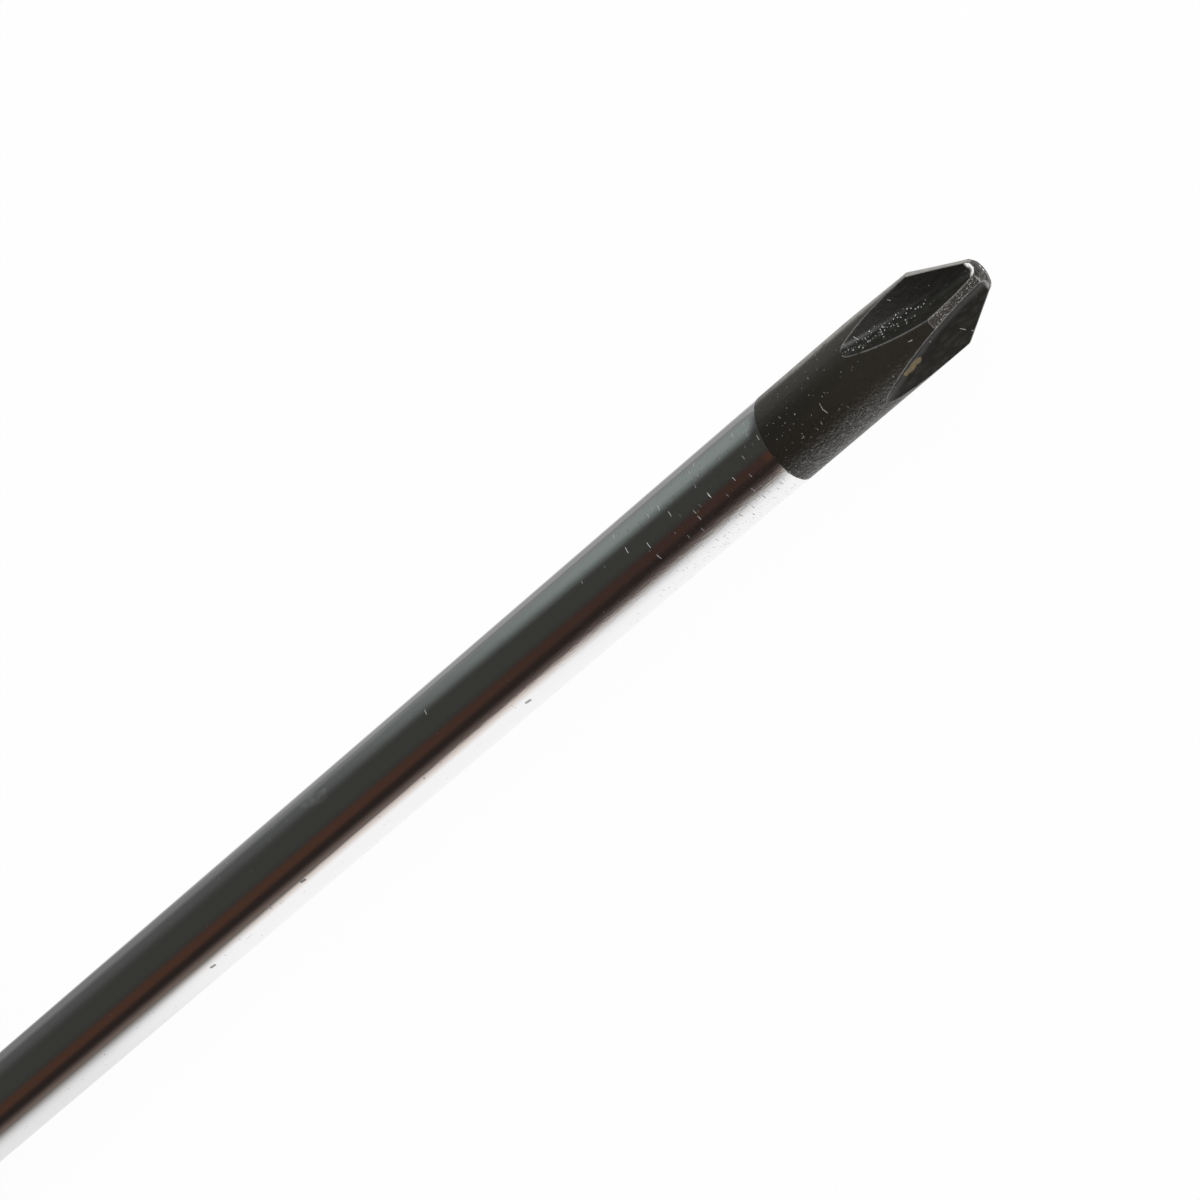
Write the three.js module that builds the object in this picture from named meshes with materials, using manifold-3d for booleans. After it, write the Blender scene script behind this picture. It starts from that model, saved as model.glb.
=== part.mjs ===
// Cross-head screwdriver: a round plated blade with a blackened cross point, moulded into a
// two-colour handle. Millimetres, +Z up. The tool lies on a bench along X with its point at +X,
// and the origin is under the middle of its length, on the bench.

import * as THREE from 'three';
import { mergeVertices } from 'three/addons/utils/BufferGeometryUtils.js';
import Module from 'manifold-3d';

// Blade: bar, cross point and tang
const SHANK_DIAMETER = 6;
const BLADE_LENGTH = 125; // blunt end of the point to the nose of the handle
const POINT_DIAMETER = 2.24; // across the wings at the blunt end
const POINT_FLAT = 1; // flat left in the middle of the blunt end
const POINT_CHAMFER_ANGLE = 20; // degrees, from the flat out to the wings
const WING_ANGLE = 28; // degrees between a wing's outer edge and the axis
const FLUTE_COUNT = 4;
const FLUTE_LENGTH = 9.7; // blunt end to the flute's run-out on the shank
const FLUTE_ANGLE = 101; // degrees between the two walls of a flute
const FLUTE_ROOT_RADIUS = 0.84;
const POINT_CORE = 1.62; // thickness left between opposite flute floors at the blunt end
const BLACKENED_LENGTH = 17.1; // the point and the end of the shank, left unplated
const BLACKENED_GROWTH = 0.02; // radial, by which the blackened end stands over the plating
const TANG_LENGTH = 64; // bar held inside the handle
const TANG_CHAMFER = 1;
const TANG_WING_COUNT = 2;
const TANG_WING_REACH = 1.3; // by which a swaged wing stands out of the bar
const TANG_WING_THICKNESS = 2.4;
const TANG_WING_LENGTH = 9;
const TANG_WING_PITCH = 13;
const TANG_WING_FROM_END = 3; // end of the tang to the nearest pair of wings

// Fits between moulded pieces
const GAP = 0.3;

// Handle core: nose, stem, swell and spigot
const NOSE_LENGTH = 7;
const NOSE_WALL = 1.9; // round the blade, at the front of the nose
const NOSE_FLARE = 3.3; // by which the nose grows in radius
const NOSE_CHAMFER = 0.8;
const STEM_WALL = 1.7; // outside the tang's wings
const SWELL_RISE = 2; // by which the core thickens inside the grip
const SWELL_BEFORE_WIDEST = 20; // front of the swell to the widest part of the grip
const SWELL_REAR_MARGIN = 5.8; // end of the swell to the end of the shell
const SWELL_SLOPE = 4; // length of the cone at each end of the swell
const SPIGOT_RISE = 1; // by which the spigot is thicker than the stem, in radius
const SPIGOT_LENGTH = 7; // past the end of the shell, into the cap
const BEAD_HEIGHT = 0.5; // snap bead round the spigot
const BEAD_LENGTH = 1.6;

// Handle shell: guard, neck and six-sided grip
const ACROSS_FLATS = 30; // guard, and grip with its pads: the tool lies level on both
const GUARD_STEP = 0.8; // from the nose out to the front of the guard
const GUARD_FRONT_SLOPE = 3;
const GUARD_WIDTH = 5;
const GUARD_REAR_SLOPE = 6.5;
const NECK_LENGTH = 10;
const NECK_WALL = 1.9;
const FLARE_LENGTH = 43; // neck to the widest part of the grip
const REAR_TAPER_LENGTH = 25; // widest part to the end of the shell
const REAR_TAPER = 1.2; // by which the grip's half width falls over that length
const GRIP_CORNER_SHARE = 0.5; // corner radius as a share of the half width across flats
const GUARD_CORNER_SHARE = 0.42;
const ROUND_SHARE = 0.97; // the same share where the section is all but round

// Soft pieces: turning ring in the neck and a pad on each flat
const SIDES = 6;
const RING_THICKNESS = 1.8;
const RING_OVERHANG = 3; // by which the ring runs past the neck at each end
const RING_FLUTES = 18;
const RING_FLUTE_DEPTH = 0.7;
const PAD_FRONT_MARGIN = 5.9; // turning ring to the front of a pad
const PAD_REAR_MARGIN = 5.8; // rear of a pad to the end of the shell
const RIB_WIDTH = 5; // hard rib left between two pads
const PAD_DEPTH = 2; // set into the shell
const PAD_PROUD = 0.4; // standing over the shell

// End cap with its hanging hole
const CAP_STRAIGHT = 3; // before the dome begins
const CAP_END_DIAMETER = 15;
const CAP_WEB = 2.2; // between the spigot and the hanging hole
const CAP_END_WALL = 3.5; // behind the hanging hole
const HANG_HOLE_DIAMETER = 6.2;

// Facets
const BLADE_FACETS = 48;
const CORE_FACETS = 36;
const WHEEL_FACETS = 120;
const CORNER_FACETS = 5;
const RING_POINTS_PER_FLUTE = 5;

// Worked-out places. Along the handle, a place is its distance behind the nose.
const shankRadius = SHANK_DIAMETER / 2;
const pointRadius = POINT_DIAMETER / 2;
const noseFrontRadius = shankRadius + GAP + NOSE_WALL;
const noseRearRadius = noseFrontRadius + NOSE_FLARE;
const tangWingHalf = shankRadius + TANG_WING_REACH;
const stemRadius = tangWingHalf + STEM_WALL;
const swellRadius = stemRadius + SWELL_RISE;
const spigotRadius = stemRadius + SPIGOT_RISE;
const guardFront = NOSE_LENGTH + GAP;
const guardFlatFront = guardFront + GUARD_FRONT_SLOPE;
const guardFlatRear = guardFlatFront + GUARD_WIDTH;
const neckFront = guardFlatRear + GUARD_REAR_SLOPE;
const neckRear = neckFront + NECK_LENGTH;
const widest = neckRear + FLARE_LENGTH;
const shellRear = widest + REAR_TAPER_LENGTH;
const swellFront = widest - SWELL_BEFORE_WIDEST;
const swellRear = shellRear - SWELL_REAR_MARGIN;
const spigotRear = shellRear + SPIGOT_LENGTH;
const capFront = shellRear + GAP;
const hangHoleMiddle = spigotRear + GAP + CAP_WEB + HANG_HOLE_DIAMETER / 2;
const handleRear = hangHoleMiddle + HANG_HOLE_DIAMETER / 2 + CAP_END_WALL;
const ringFront = neckFront - RING_OVERHANG;
const ringRear = neckRear + RING_OVERHANG;
const padFront = ringRear + PAD_FRONT_MARGIN;
const padRear = shellRear - PAD_REAR_MARGIN;
const shellNeckRadius = stemRadius + GAP + NECK_WALL;
const ringBore = shellNeckRadius + GAP;
const neckRadius = ringBore + RING_THICKNESS;
const guardHalf = ACROSS_FLATS / 2;
const gripHalf = guardHalf - PAD_PROUD;
const rearHalf = gripHalf - REAR_TAPER;
const radians = THREE.MathUtils.degToRad;

// Finishes
const finish = (color, roughness, metalness) => {
  return new THREE.MeshStandardMaterial({ color, roughness, metalness });
};
const chrome = () => finish(0xdfe2e3, 0.12, 1);
const blackOxide = () => finish(0x24221f, 0.5, 0.6);
const redPlastic = () => finish(0xa81f1c, 0.38, 0);
const blackPlastic = () => finish(0x1c1d1f, 0.42, 0);
const softBlack = () => finish(0x17181a, 0.75, 0);

// Solids
const wasm = await Module();
wasm.setup();

function solidOf(geometry) {
  const bare = geometry.clone();
  bare.deleteAttribute('normal');
  bare.deleteAttribute('uv');
  const merged = mergeVertices(bare, 1e-5);
  const vertProperties = merged.attributes.position.array;
  const triVerts = new Uint32Array(merged.index.array);
  return new wasm.Manifold(new wasm.Mesh({ numProp: 3, vertProperties, triVerts }));
}

function geometryOf(solid) {
  const { vertProperties, triVerts } = solid.getMesh();
  const geometry = new THREE.BufferGeometry();
  geometry.setAttribute('position', new THREE.BufferAttribute(vertProperties, 3));
  geometry.setIndex(new THREE.BufferAttribute(triVerts, 1));
  return geometry;
}

// A solid of revolution about X from [x, radius] points that run towards +X.
function revolve(profile, facets) {
  const points = profile.map(([x, radius]) => new THREE.Vector2(radius, x));
  return solidOf(new THREE.LatheGeometry(points, facets).rotateZ(-Math.PI / 2));
}

// A closed skin over rings of points. Rings run towards +X, and each turns from +Y to +Z.
function loft(rings) {
  const count = rings[0].length;
  const last = rings.length - 1;
  const points = rings.flat();
  const index = [];
  for (let i = 0; i < last; i++) {
    for (let j = 0; j < count; j++) {
      const next = (j + 1) % count;
      const [a, b] = [i * count + j, i * count + next];
      index.push(a, b, a + count, b, b + count, a + count);
    }
  }
  const middles = [rings[0], rings[last]].map((ring) => {
    const sum = ring.reduce((total, point) => total.add(point), new THREE.Vector3());
    return points.push(sum.divideScalar(count)) - 1;
  });
  for (let j = 0; j < count; j++) {
    const next = (j + 1) % count;
    index.push(middles[0], next, j, middles[1], last * count + j, last * count + next);
  }
  const geometry = new THREE.BufferGeometry().setFromPoints(points);
  geometry.setIndex(index);
  return solidOf(geometry);
}

const joined = (solids) => solids.reduce((whole, solid) => whole.add(solid));
const turned = (solid, degrees) => solid.rotate([degrees, 0, 0]);
const around = (count, solid) => Array.from({ length: count }, (_, i) => turned(solid, (i * 360) / count));

// Handle section and profile

// A many-sided ring with rounded corners, one of its flats facing down.
function flatSidedRing(behindNose, half, cornerShare) {
  const corner = half * cornerShare;
  const reach = (half - corner) / Math.cos(Math.PI / SIDES);
  const ring = [];
  for (let side = 0; side < SIDES; side++) {
    const middle = -Math.PI / 2 + ((side + 0.5) * 2 * Math.PI) / SIDES;
    for (let i = 0; i <= CORNER_FACETS; i++) {
      const angle = middle + (i / CORNER_FACETS - 0.5) * ((2 * Math.PI) / SIDES);
      const y = reach * Math.cos(middle) + corner * Math.cos(angle);
      const z = reach * Math.sin(middle) + corner * Math.sin(angle);
      ring.push(new THREE.Vector3(-behindNose, y, z));
    }
  }
  return ring;
}

const ease = (from, to, place, start, end) => {
  return THREE.MathUtils.lerp(from, to, THREE.MathUtils.smoothstep(place, start, end));
};

// Half width across flats, and corner share, at a place behind the nose, from guard to shell end.
function gripHalfAt(place) {
  if (place < neckRear) return ease(guardHalf, neckRadius, place, guardFlatRear, neckFront);
  if (place < widest) return ease(neckRadius, gripHalf, place, neckRear, widest);
  return ease(gripHalf, rearHalf, place, widest, shellRear);
}

function gripCornerAt(place) {
  if (place < neckRear) return ease(GUARD_CORNER_SHARE, ROUND_SHARE, place, guardFlatRear, neckFront);
  return ease(ROUND_SHARE, GRIP_CORNER_SHARE, place, neckRear, (neckRear + widest) / 2);
}

const stations = (start, end, count) => {
  return Array.from({ length: count + 1 }, (_, i) => end + ((start - end) * i) / count);
};

const GUARD_STATIONS = 4;
const NECK_STATIONS = 2;
const FLARE_STATIONS = 9;
const TAPER_STATIONS = 4;
const gripPlaces = [
  ...stations(widest, shellRear, TAPER_STATIONS),
  ...stations(neckRear, widest, FLARE_STATIONS).slice(1),
  ...stations(neckFront, neckRear, NECK_STATIONS).slice(1),
  ...stations(guardFlatRear, neckFront, GUARD_STATIONS).slice(1),
];

// The outer skin of the handle from guard to shell end, moved in or out by an offset.
function gripSkin(offset) {
  return loft(gripPlaces.map((place) => {
    const half = gripHalfAt(place);
    const corner = half * gripCornerAt(place) + offset;
    return flatSidedRing(place, half + offset, corner / (half + offset));
  }));
}

// Blade

// A disc cutter whose rim has the flute's section. It sinks into the bar over the blunt end.
function fluteCutter() {
  const rise = shankRadius - POINT_CORE / 2;
  const wheel = (FLUTE_LENGTH ** 2 + rise ** 2) / (2 * rise);
  const wall = radians(FLUTE_ANGLE / 2);
  const rim = [];
  const ROOT_FACETS = 6;
  for (let i = 0; i <= ROOT_FACETS; i++) {
    const angle = (i / ROOT_FACETS - 0.5) * (Math.PI - 2 * wall);
    const out = wheel - FLUTE_ROOT_RADIUS * (1 - Math.cos(angle));
    rim.push(new THREE.Vector2(out, FLUTE_ROOT_RADIUS * Math.sin(angle)));
  }
  const depth = SHANK_DIAMETER;
  const half = rim[ROOT_FACETS].y + (rim[ROOT_FACETS].x - wheel + depth) * Math.tan(wall);
  const hub = wheel - depth;
  const profile = [new THREE.Vector2(hub, -half), ...rim, new THREE.Vector2(hub, half)];
  profile.push(profile[0].clone());
  const disc = solidOf(new THREE.LatheGeometry(profile, WHEEL_FACETS));
  return disc.translate([BLADE_LENGTH, 0, POINT_CORE / 2 + wheel]);
}

// Pairs of swaged wings that key the tang into the handle, grown all round by a clearance.
function tangWings(clearance) {
  const half = tangWingHalf + clearance;
  const length = TANG_WING_LENGTH + 2 * clearance;
  const slope = half - shankRadius / 2;
  const outline = new THREE.Shape();
  outline.moveTo(0, shankRadius / 2).lineTo(slope, half).lineTo(length - slope, half);
  outline.lineTo(length, shankRadius / 2).lineTo(length, -shankRadius / 2);
  outline.lineTo(length - slope, -half).lineTo(slope, -half).lineTo(0, -shankRadius / 2);
  const depth = TANG_WING_THICKNESS + 2 * clearance;
  const wing = solidOf(new THREE.ExtrudeGeometry(outline, { depth, bevelEnabled: false }));
  return Array.from({ length: TANG_WING_COUNT }, (_, i) => {
    const rear = TANG_LENGTH - TANG_WING_FROM_END - i * TANG_WING_PITCH;
    return wing.translate([-rear - clearance, 0, -depth / 2]);
  });
}

function makeBlade() {
  const flatRadius = POINT_FLAT / 2;
  const blackRadius = shankRadius + BLACKENED_GROWTH;
  const pointEnd = BLADE_LENGTH - (pointRadius - flatRadius) * Math.tan(radians(POINT_CHAMFER_ANGLE));
  const wingEnd = pointEnd - (blackRadius - pointRadius) / Math.tan(radians(WING_ANGLE));
  const plateEnd = BLADE_LENGTH - BLACKENED_LENGTH;
  const bar = revolve([
    [-TANG_LENGTH, 0],
    [-TANG_LENGTH, shankRadius - TANG_CHAMFER],
    [-TANG_LENGTH + TANG_CHAMFER, shankRadius],
    [plateEnd, shankRadius],
    [plateEnd, blackRadius],
    [wingEnd, blackRadius],
    [pointEnd, pointRadius],
    [BLADE_LENGTH, flatRadius],
    [BLADE_LENGTH, 0],
  ], BLADE_FACETS);
  const flutes = joined(around(FLUTE_COUNT, fluteCutter()));
  const geometry = geometryOf(joined([bar, ...tangWings(0)]).subtract(flutes));
  paintPoint(geometry, plateEnd);
  return new THREE.Mesh(geometry, [chrome(), blackOxide()]);
}

// Sorts a blade's triangles into a plated group and a blackened group at the end of the plating.
function paintPoint(geometry, plateEnd) {
  const { index, attributes } = geometry;
  const groups = [[], []];
  for (let i = 0; i < index.count; i += 3) {
    const corners = [index.getX(i), index.getX(i + 1), index.getX(i + 2)];
    const middle = corners.reduce((sum, corner) => sum + attributes.position.getX(corner) / 3, 0);
    groups[middle < plateEnd ? 0 : 1].push(...corners);
  }
  geometry.setIndex(groups.flat());
  geometry.addGroup(0, groups[0].length, 0);
  geometry.addGroup(groups[0].length, groups[1].length, 1);
}

// Handle core, with the tang's own shape left in it

// Outline of the core, grown by a clearance where another piece is moulded round it.
function coreProfile(clearance) {
  const beadMiddle = (shellRear + spigotRear) / 2;
  return [
    [-spigotRear - clearance, 0],
    [-spigotRear - clearance, spigotRadius + clearance],
    [-beadMiddle - BEAD_LENGTH, spigotRadius + clearance],
    [-beadMiddle, spigotRadius + clearance + BEAD_HEIGHT],
    [-beadMiddle + BEAD_LENGTH, spigotRadius + clearance],
    [-swellRear - clearance, spigotRadius + clearance],
    [-swellRear + SWELL_SLOPE - clearance, swellRadius + clearance],
    [-swellFront - SWELL_SLOPE + clearance, swellRadius + clearance],
    [-swellFront + clearance, stemRadius + clearance],
  ];
}
const SPIGOT_POINTS = 5; // of that outline, round the spigot

function makeCore() {
  const body = revolve([
    ...coreProfile(0),
    [-NOSE_LENGTH, stemRadius],
    [-NOSE_LENGTH, noseRearRadius],
    [-NOSE_LENGTH + NOSE_CHAMFER, noseRearRadius],
    [-NOSE_CHAMFER, noseFrontRadius],
    [0, noseFrontRadius - NOSE_CHAMFER],
    [0, 0],
  ], CORE_FACETS);
  const barHole = revolve([
    [-TANG_LENGTH - GAP, 0],
    [-TANG_LENGTH - GAP, shankRadius + GAP],
    [GAP, shankRadius + GAP],
    [GAP, 0],
  ], BLADE_FACETS);
  const tangHole = joined([barHole, ...tangWings(GAP)]);
  return new THREE.Mesh(geometryOf(body.subtract(tangHole)), blackPlastic());
}

// Handle shell with a recess for the ring, pockets for the pads and the core's shape left in it

// Half the width that a pad has where the grip's half width is known.
const padHalfWidth = (half) => half * Math.tan(Math.PI / SIDES) - RIB_WIDTH / 2;

// A column of a pad's outline, standing down through the bottom flat and grown by a clearance.
function padColumn(clearance) {
  const frontRadius = padHalfWidth(gripHalfAt(padFront));
  const rearRadius = padHalfWidth(gripHalfAt(padRear));
  const outline = new THREE.Shape();
  outline.absarc(-padFront - frontRadius, 0, frontRadius + clearance, -Math.PI / 2, Math.PI / 2);
  outline.absarc(-padRear + rearRadius, 0, rearRadius + clearance, Math.PI / 2, (3 * Math.PI) / 2);
  const END_FACETS = 8;
  const depth = ACROSS_FLATS;
  const settings = { depth, bevelEnabled: false, curveSegments: END_FACETS };
  const column = new THREE.ExtrudeGeometry(outline, settings);
  return solidOf(column.translate(0, 0, -depth));
}

function guardBody() {
  const frontHalf = noseRearRadius + GUARD_STEP;
  return loft([
    flatSidedRing(guardFlatRear, guardHalf, GUARD_CORNER_SHARE),
    flatSidedRing(guardFlatFront, guardHalf, GUARD_CORNER_SHARE),
    flatSidedRing(guardFront, frontHalf, ROUND_SHARE),
  ]);
}

function makeShell() {
  const ringRecess = revolve([
    [-ringRear - GAP, 0],
    [-ringRear - GAP, ACROSS_FLATS],
    [-ringFront + GAP, ACROSS_FLATS],
    [-ringFront + GAP, 0],
  ], CORE_FACETS);
  const neck = revolve([
    [-ringRear - RING_OVERHANG, 0],
    [-ringRear - RING_OVERHANG, shellNeckRadius],
    [-ringFront + RING_OVERHANG, shellNeckRadius],
    [-ringFront + RING_OVERHANG, 0],
  ], CORE_FACETS);
  const coreHole = revolve([
    ...coreProfile(GAP),
    [-guardFront + GAP, stemRadius + GAP],
    [-guardFront + GAP, 0],
  ], CORE_FACETS);
  const pocketFloor = gripSkin(-PAD_DEPTH - GAP);
  const pockets = joined(around(SIDES, padColumn(GAP))).subtract(pocketFloor);
  const outside = gripSkin(0).add(guardBody()).subtract(ringRecess).add(neck);
  return new THREE.Mesh(geometryOf(outside.subtract(pockets).subtract(coreHole)), redPlastic());
}

// Soft ring in the neck, fluted for the fingertips
function makeTurningRing() {
  const count = RING_FLUTES * RING_POINTS_PER_FLUTE;
  const RING_STATIONS = 8;
  const rings = stations(ringFront, ringRear, RING_STATIONS).map((place) => {
    const half = gripHalfAt(place);
    const along = Math.sin((Math.PI * (place - ringFront)) / (ringRear - ringFront));
    return Array.from({ length: count }, (_, i) => {
      const angle = (i * 2 * Math.PI) / count;
      const wave = (1 - Math.cos(angle * RING_FLUTES)) / 2;
      const radius = half - RING_FLUTE_DEPTH * along * wave;
      return new THREE.Vector3(-place, radius * Math.cos(angle), radius * Math.sin(angle));
    });
  });
  const bore = revolve([
    [-ringRear - GAP, 0],
    [-ringRear - GAP, ringBore],
    [-ringFront + GAP, ringBore],
    [-ringFront + GAP, 0],
  ], CORE_FACETS);
  return new THREE.Mesh(geometryOf(loft(rings).subtract(bore)), softBlack());
}

// Soft pads, one in the pocket on each flat
function makePads() {
  const layer = gripSkin(PAD_PROUD).subtract(gripSkin(-PAD_DEPTH));
  return around(SIDES, padColumn(0)).map((column) => {
    return new THREE.Mesh(geometryOf(layer.intersect(column)), softBlack());
  });
}

// End cap: snapped over the spigot, domed, with a hole to hang the tool by
function makeCap() {
  const endHalf = CAP_END_DIAMETER / 2;
  const domeFront = capFront + CAP_STRAIGHT;
  const domeLength = handleRear - domeFront;
  const DOME_STATIONS = 7;
  const dome = Array.from({ length: DOME_STATIONS + 1 }, (_, i) => {
    const angle = ((DOME_STATIONS - i) / DOME_STATIONS) * (Math.PI / 2);
    const half = endHalf + (rearHalf - endHalf) * Math.cos(angle);
    const corner = THREE.MathUtils.lerp(ROUND_SHARE, GRIP_CORNER_SHARE, Math.cos(angle));
    return flatSidedRing(domeFront + domeLength * Math.sin(angle), half, corner);
  });
  const body = loft([...dome, flatSidedRing(capFront, rearHalf, GRIP_CORNER_SHARE)]);
  const spigotHole = revolve([
    ...coreProfile(GAP).slice(0, SPIGOT_POINTS),
    [-shellRear, spigotRadius + GAP],
    [-shellRear, 0],
  ], CORE_FACETS);
  const HOLE_FACETS = 28;
  const radius = HANG_HOLE_DIAMETER / 2;
  const hole = new THREE.CylinderGeometry(radius, radius, ACROSS_FLATS, HOLE_FACETS);
  hole.rotateX(Math.PI / 2).translate(-hangHoleMiddle, 0, 0);
  return new THREE.Mesh(geometryOf(body.subtract(spigotHole).subtract(solidOf(hole))), blackPlastic());
}

// Assembly
const screwdriver = new THREE.Group();
const pieces = {
  blade: makeBlade(),
  handle_core: makeCore(),
  handle_shell: makeShell(),
  turning_ring: makeTurningRing(),
};
makePads().forEach((pad, i) => {
  pieces[`grip_pad_${i + 1}`] = pad;
});
pieces.end_cap = makeCap();
for (const [name, mesh] of Object.entries(pieces)) {
  mesh.name = name;
  screwdriver.add(mesh);
}
// Lays the tool down with the middle of its length over the origin.
const lying = new THREE.Group();
screwdriver.position.set((handleRear - BLADE_LENGTH) / 2, 0, guardHalf);
lying.add(screwdriver);

export default lying;
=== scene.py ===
"""Looks, stage and camera of a cross-head screwdriver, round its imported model, in millimetres."""

import math

import bmesh
import bpy
import numpy as np
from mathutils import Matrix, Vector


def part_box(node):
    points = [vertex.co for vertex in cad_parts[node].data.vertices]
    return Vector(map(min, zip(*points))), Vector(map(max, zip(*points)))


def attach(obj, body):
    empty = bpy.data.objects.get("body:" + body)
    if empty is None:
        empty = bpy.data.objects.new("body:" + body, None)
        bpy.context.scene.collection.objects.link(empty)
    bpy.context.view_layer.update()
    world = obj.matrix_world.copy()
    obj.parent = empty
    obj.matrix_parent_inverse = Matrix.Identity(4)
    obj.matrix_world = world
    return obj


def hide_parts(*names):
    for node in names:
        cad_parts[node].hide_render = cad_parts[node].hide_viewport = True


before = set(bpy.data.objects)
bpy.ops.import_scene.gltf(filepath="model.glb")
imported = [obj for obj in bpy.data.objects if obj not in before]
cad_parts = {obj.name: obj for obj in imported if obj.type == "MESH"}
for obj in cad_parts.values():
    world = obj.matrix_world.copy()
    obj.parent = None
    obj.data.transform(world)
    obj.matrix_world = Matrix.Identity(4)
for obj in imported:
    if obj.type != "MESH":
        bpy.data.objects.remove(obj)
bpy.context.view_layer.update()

MM = 0.001

# Places of the tool in the frame
BLADE_LOW, BLADE_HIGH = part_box("blade")
TIP_X = BLADE_HIGH.x / MM
AXIS_Z = (BLADE_LOW.z + BLADE_HIGH.z) / 2 / MM
NOSE_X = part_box("handle_core")[1].x / MM

# Blade
SHANK_RADIUS = 3.0
BLACK_RADIUS = 3.02
BLACK_LENGTH = 17.1
FLAT_RADIUS = 0.5
POINT_RADIUS = 1.12
POINT_CHAMFER_ANGLE = 20
WING_ANGLE = 28
POINT_CORE_RADIUS = 0.81
FLUTES = 4
FLUTE_LENGTH = 9.7
FLUTE_ANGLE = 101
FLUTE_ROOT = 0.84
TANG_LENGTH = 64
TANG_CHAMFER = 1
TANG_WING_HALF = 4.3
TANG_WING_THICKNESS = 2.4
TANG_WING_LENGTH = 9
TANG_WING_REARS = (61, 48)
WING_END = (POINT_RADIUS - FLAT_RADIUS) * math.tan(math.radians(POINT_CHAMFER_ANGLE))
CONE_END = WING_END + (BLACK_RADIUS - POINT_RADIUS) / math.tan(math.radians(WING_ANGLE))
FLUTE_SINK = SHANK_RADIUS - POINT_CORE_RADIUS
WHEEL_RADIUS = (FLUTE_LENGTH**2 + FLUTE_SINK**2) / (2 * FLUTE_SINK)

# Handle, as distances behind its nose
GAP = 0.3
SHANK_CLEARANCE = 0.06
NOSE_LENGTH = 7
NOSE_FRONT_RADIUS = 5.2
NOSE_REAR_RADIUS = 8.5
NOSE_CHAMFER = 0.8
STEM_RADIUS = 6
SWELL_RADIUS = 8
SWELL_FRONT = 54.8
SWELL_REAR = 94
SWELL_SLOPE = 4
SPIGOT_RADIUS = 7
BEAD_HEIGHT = 0.5
BEAD_LENGTH = 1.6
GUARD_STEP = 0.8
GUARD_FRONT_SLOPE = 3
GUARD_WIDTH = 5
GUARD_REAR_SLOPE = 6.5
NECK_LENGTH = 10
NECK_WALL = 1.9
FLARE_LENGTH = 43
REAR_TAPER_LENGTH = 25
REAR_TAPER = 1.2
SPIGOT_LENGTH = 7
RING_THICKNESS = 1.8
RING_OVERHANG = 3
PAD_FRONT_MARGIN = 5.9
PAD_REAR_MARGIN = 5.8
CAP_WEB = 2.2
CAP_END_WALL = 3.5
GUARD_FRONT = NOSE_LENGTH + GAP
GUARD_FRONT_RADIUS = NOSE_REAR_RADIUS + GUARD_STEP
GUARD_FLAT_FRONT = GUARD_FRONT + GUARD_FRONT_SLOPE
GUARD_FLAT_REAR = GUARD_FLAT_FRONT + GUARD_WIDTH
NECK_FRONT = GUARD_FLAT_REAR + GUARD_REAR_SLOPE
NECK_REAR = NECK_FRONT + NECK_LENGTH
WIDEST = NECK_REAR + FLARE_LENGTH
SHELL_REAR = WIDEST + REAR_TAPER_LENGTH
SPIGOT_REAR = SHELL_REAR + SPIGOT_LENGTH
BEAD_MIDDLE = (SHELL_REAR + SPIGOT_REAR) / 2
CAP_FRONT = SHELL_REAR + GAP
HOLE_RADIUS = 3.1
HOLE_MIDDLE = SPIGOT_REAR + GAP + CAP_WEB + HOLE_RADIUS
HANDLE_REAR = HOLE_MIDDLE + HOLE_RADIUS + CAP_END_WALL
CAP_STRAIGHT = 3
CAP_END_RADIUS = 7.5
GUARD_HALF = 15
PAD_PROUD = 0.4
PAD_DEPTH = 2
GRIP_HALF = GUARD_HALF - PAD_PROUD
REAR_HALF = GRIP_HALF - REAR_TAPER
SHELL_NECK_RADIUS = STEM_RADIUS + GAP + NECK_WALL
RING_BORE = SHELL_NECK_RADIUS + GAP
NECK_RADIUS = RING_BORE + RING_THICKNESS
RING_FRONT = NECK_FRONT - RING_OVERHANG
RING_REAR = NECK_REAR + RING_OVERHANG
RING_FLUTES = 18
RING_FLUTE_DEPTH = 0.7
SIDES = 6
RIB_WIDTH = 5
PAD_FRONT = RING_REAR + PAD_FRONT_MARGIN
PAD_REAR = SHELL_REAR - PAD_REAR_MARGIN
GRIP_CORNER = 0.5
GUARD_CORNER = 0.44
NEARLY_ROUND = 0.99
ROUND = 1.0

# Radius of the ring that closes an end
NEARLY_AXIS = 0.02


# Shader maths


class Wire:
    """A shader socket. Python's operators on it add Math nodes."""

    def __init__(self, graph, socket):
        self.graph = graph
        self.socket = socket

    def math(self, operation, *values):
        return self.graph.add("Math", {"operation": operation}, dict(enumerate(values)))

    def __add__(self, other):
        return self.math("ADD", self, other)

    def __sub__(self, other):
        return self.math("SUBTRACT", self, other)

    def __rsub__(self, other):
        return self.math("SUBTRACT", other, self)

    def __mul__(self, other):
        return self.math("MULTIPLY", self, other)

    def __truediv__(self, other):
        return self.math("DIVIDE", self, other)

    def __rtruediv__(self, other):
        return self.math("DIVIDE", other, self)

    def __gt__(self, other):
        return self.math("GREATER_THAN", self, other)

    def __lt__(self, other):
        return self.math("LESS_THAN", self, other)

    def __abs__(self):
        return self.math("ABSOLUTE", self)

    def most(self, other):
        return self.math("MAXIMUM", self, other)

    def least(self, other):
        return self.math("MINIMUM", self, other)

    def output(self, name):
        """Another output of the node this socket is on."""
        return Wire(self.graph, self.socket.node.outputs[name])

    __radd__ = __add__
    __rmul__ = __mul__


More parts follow.
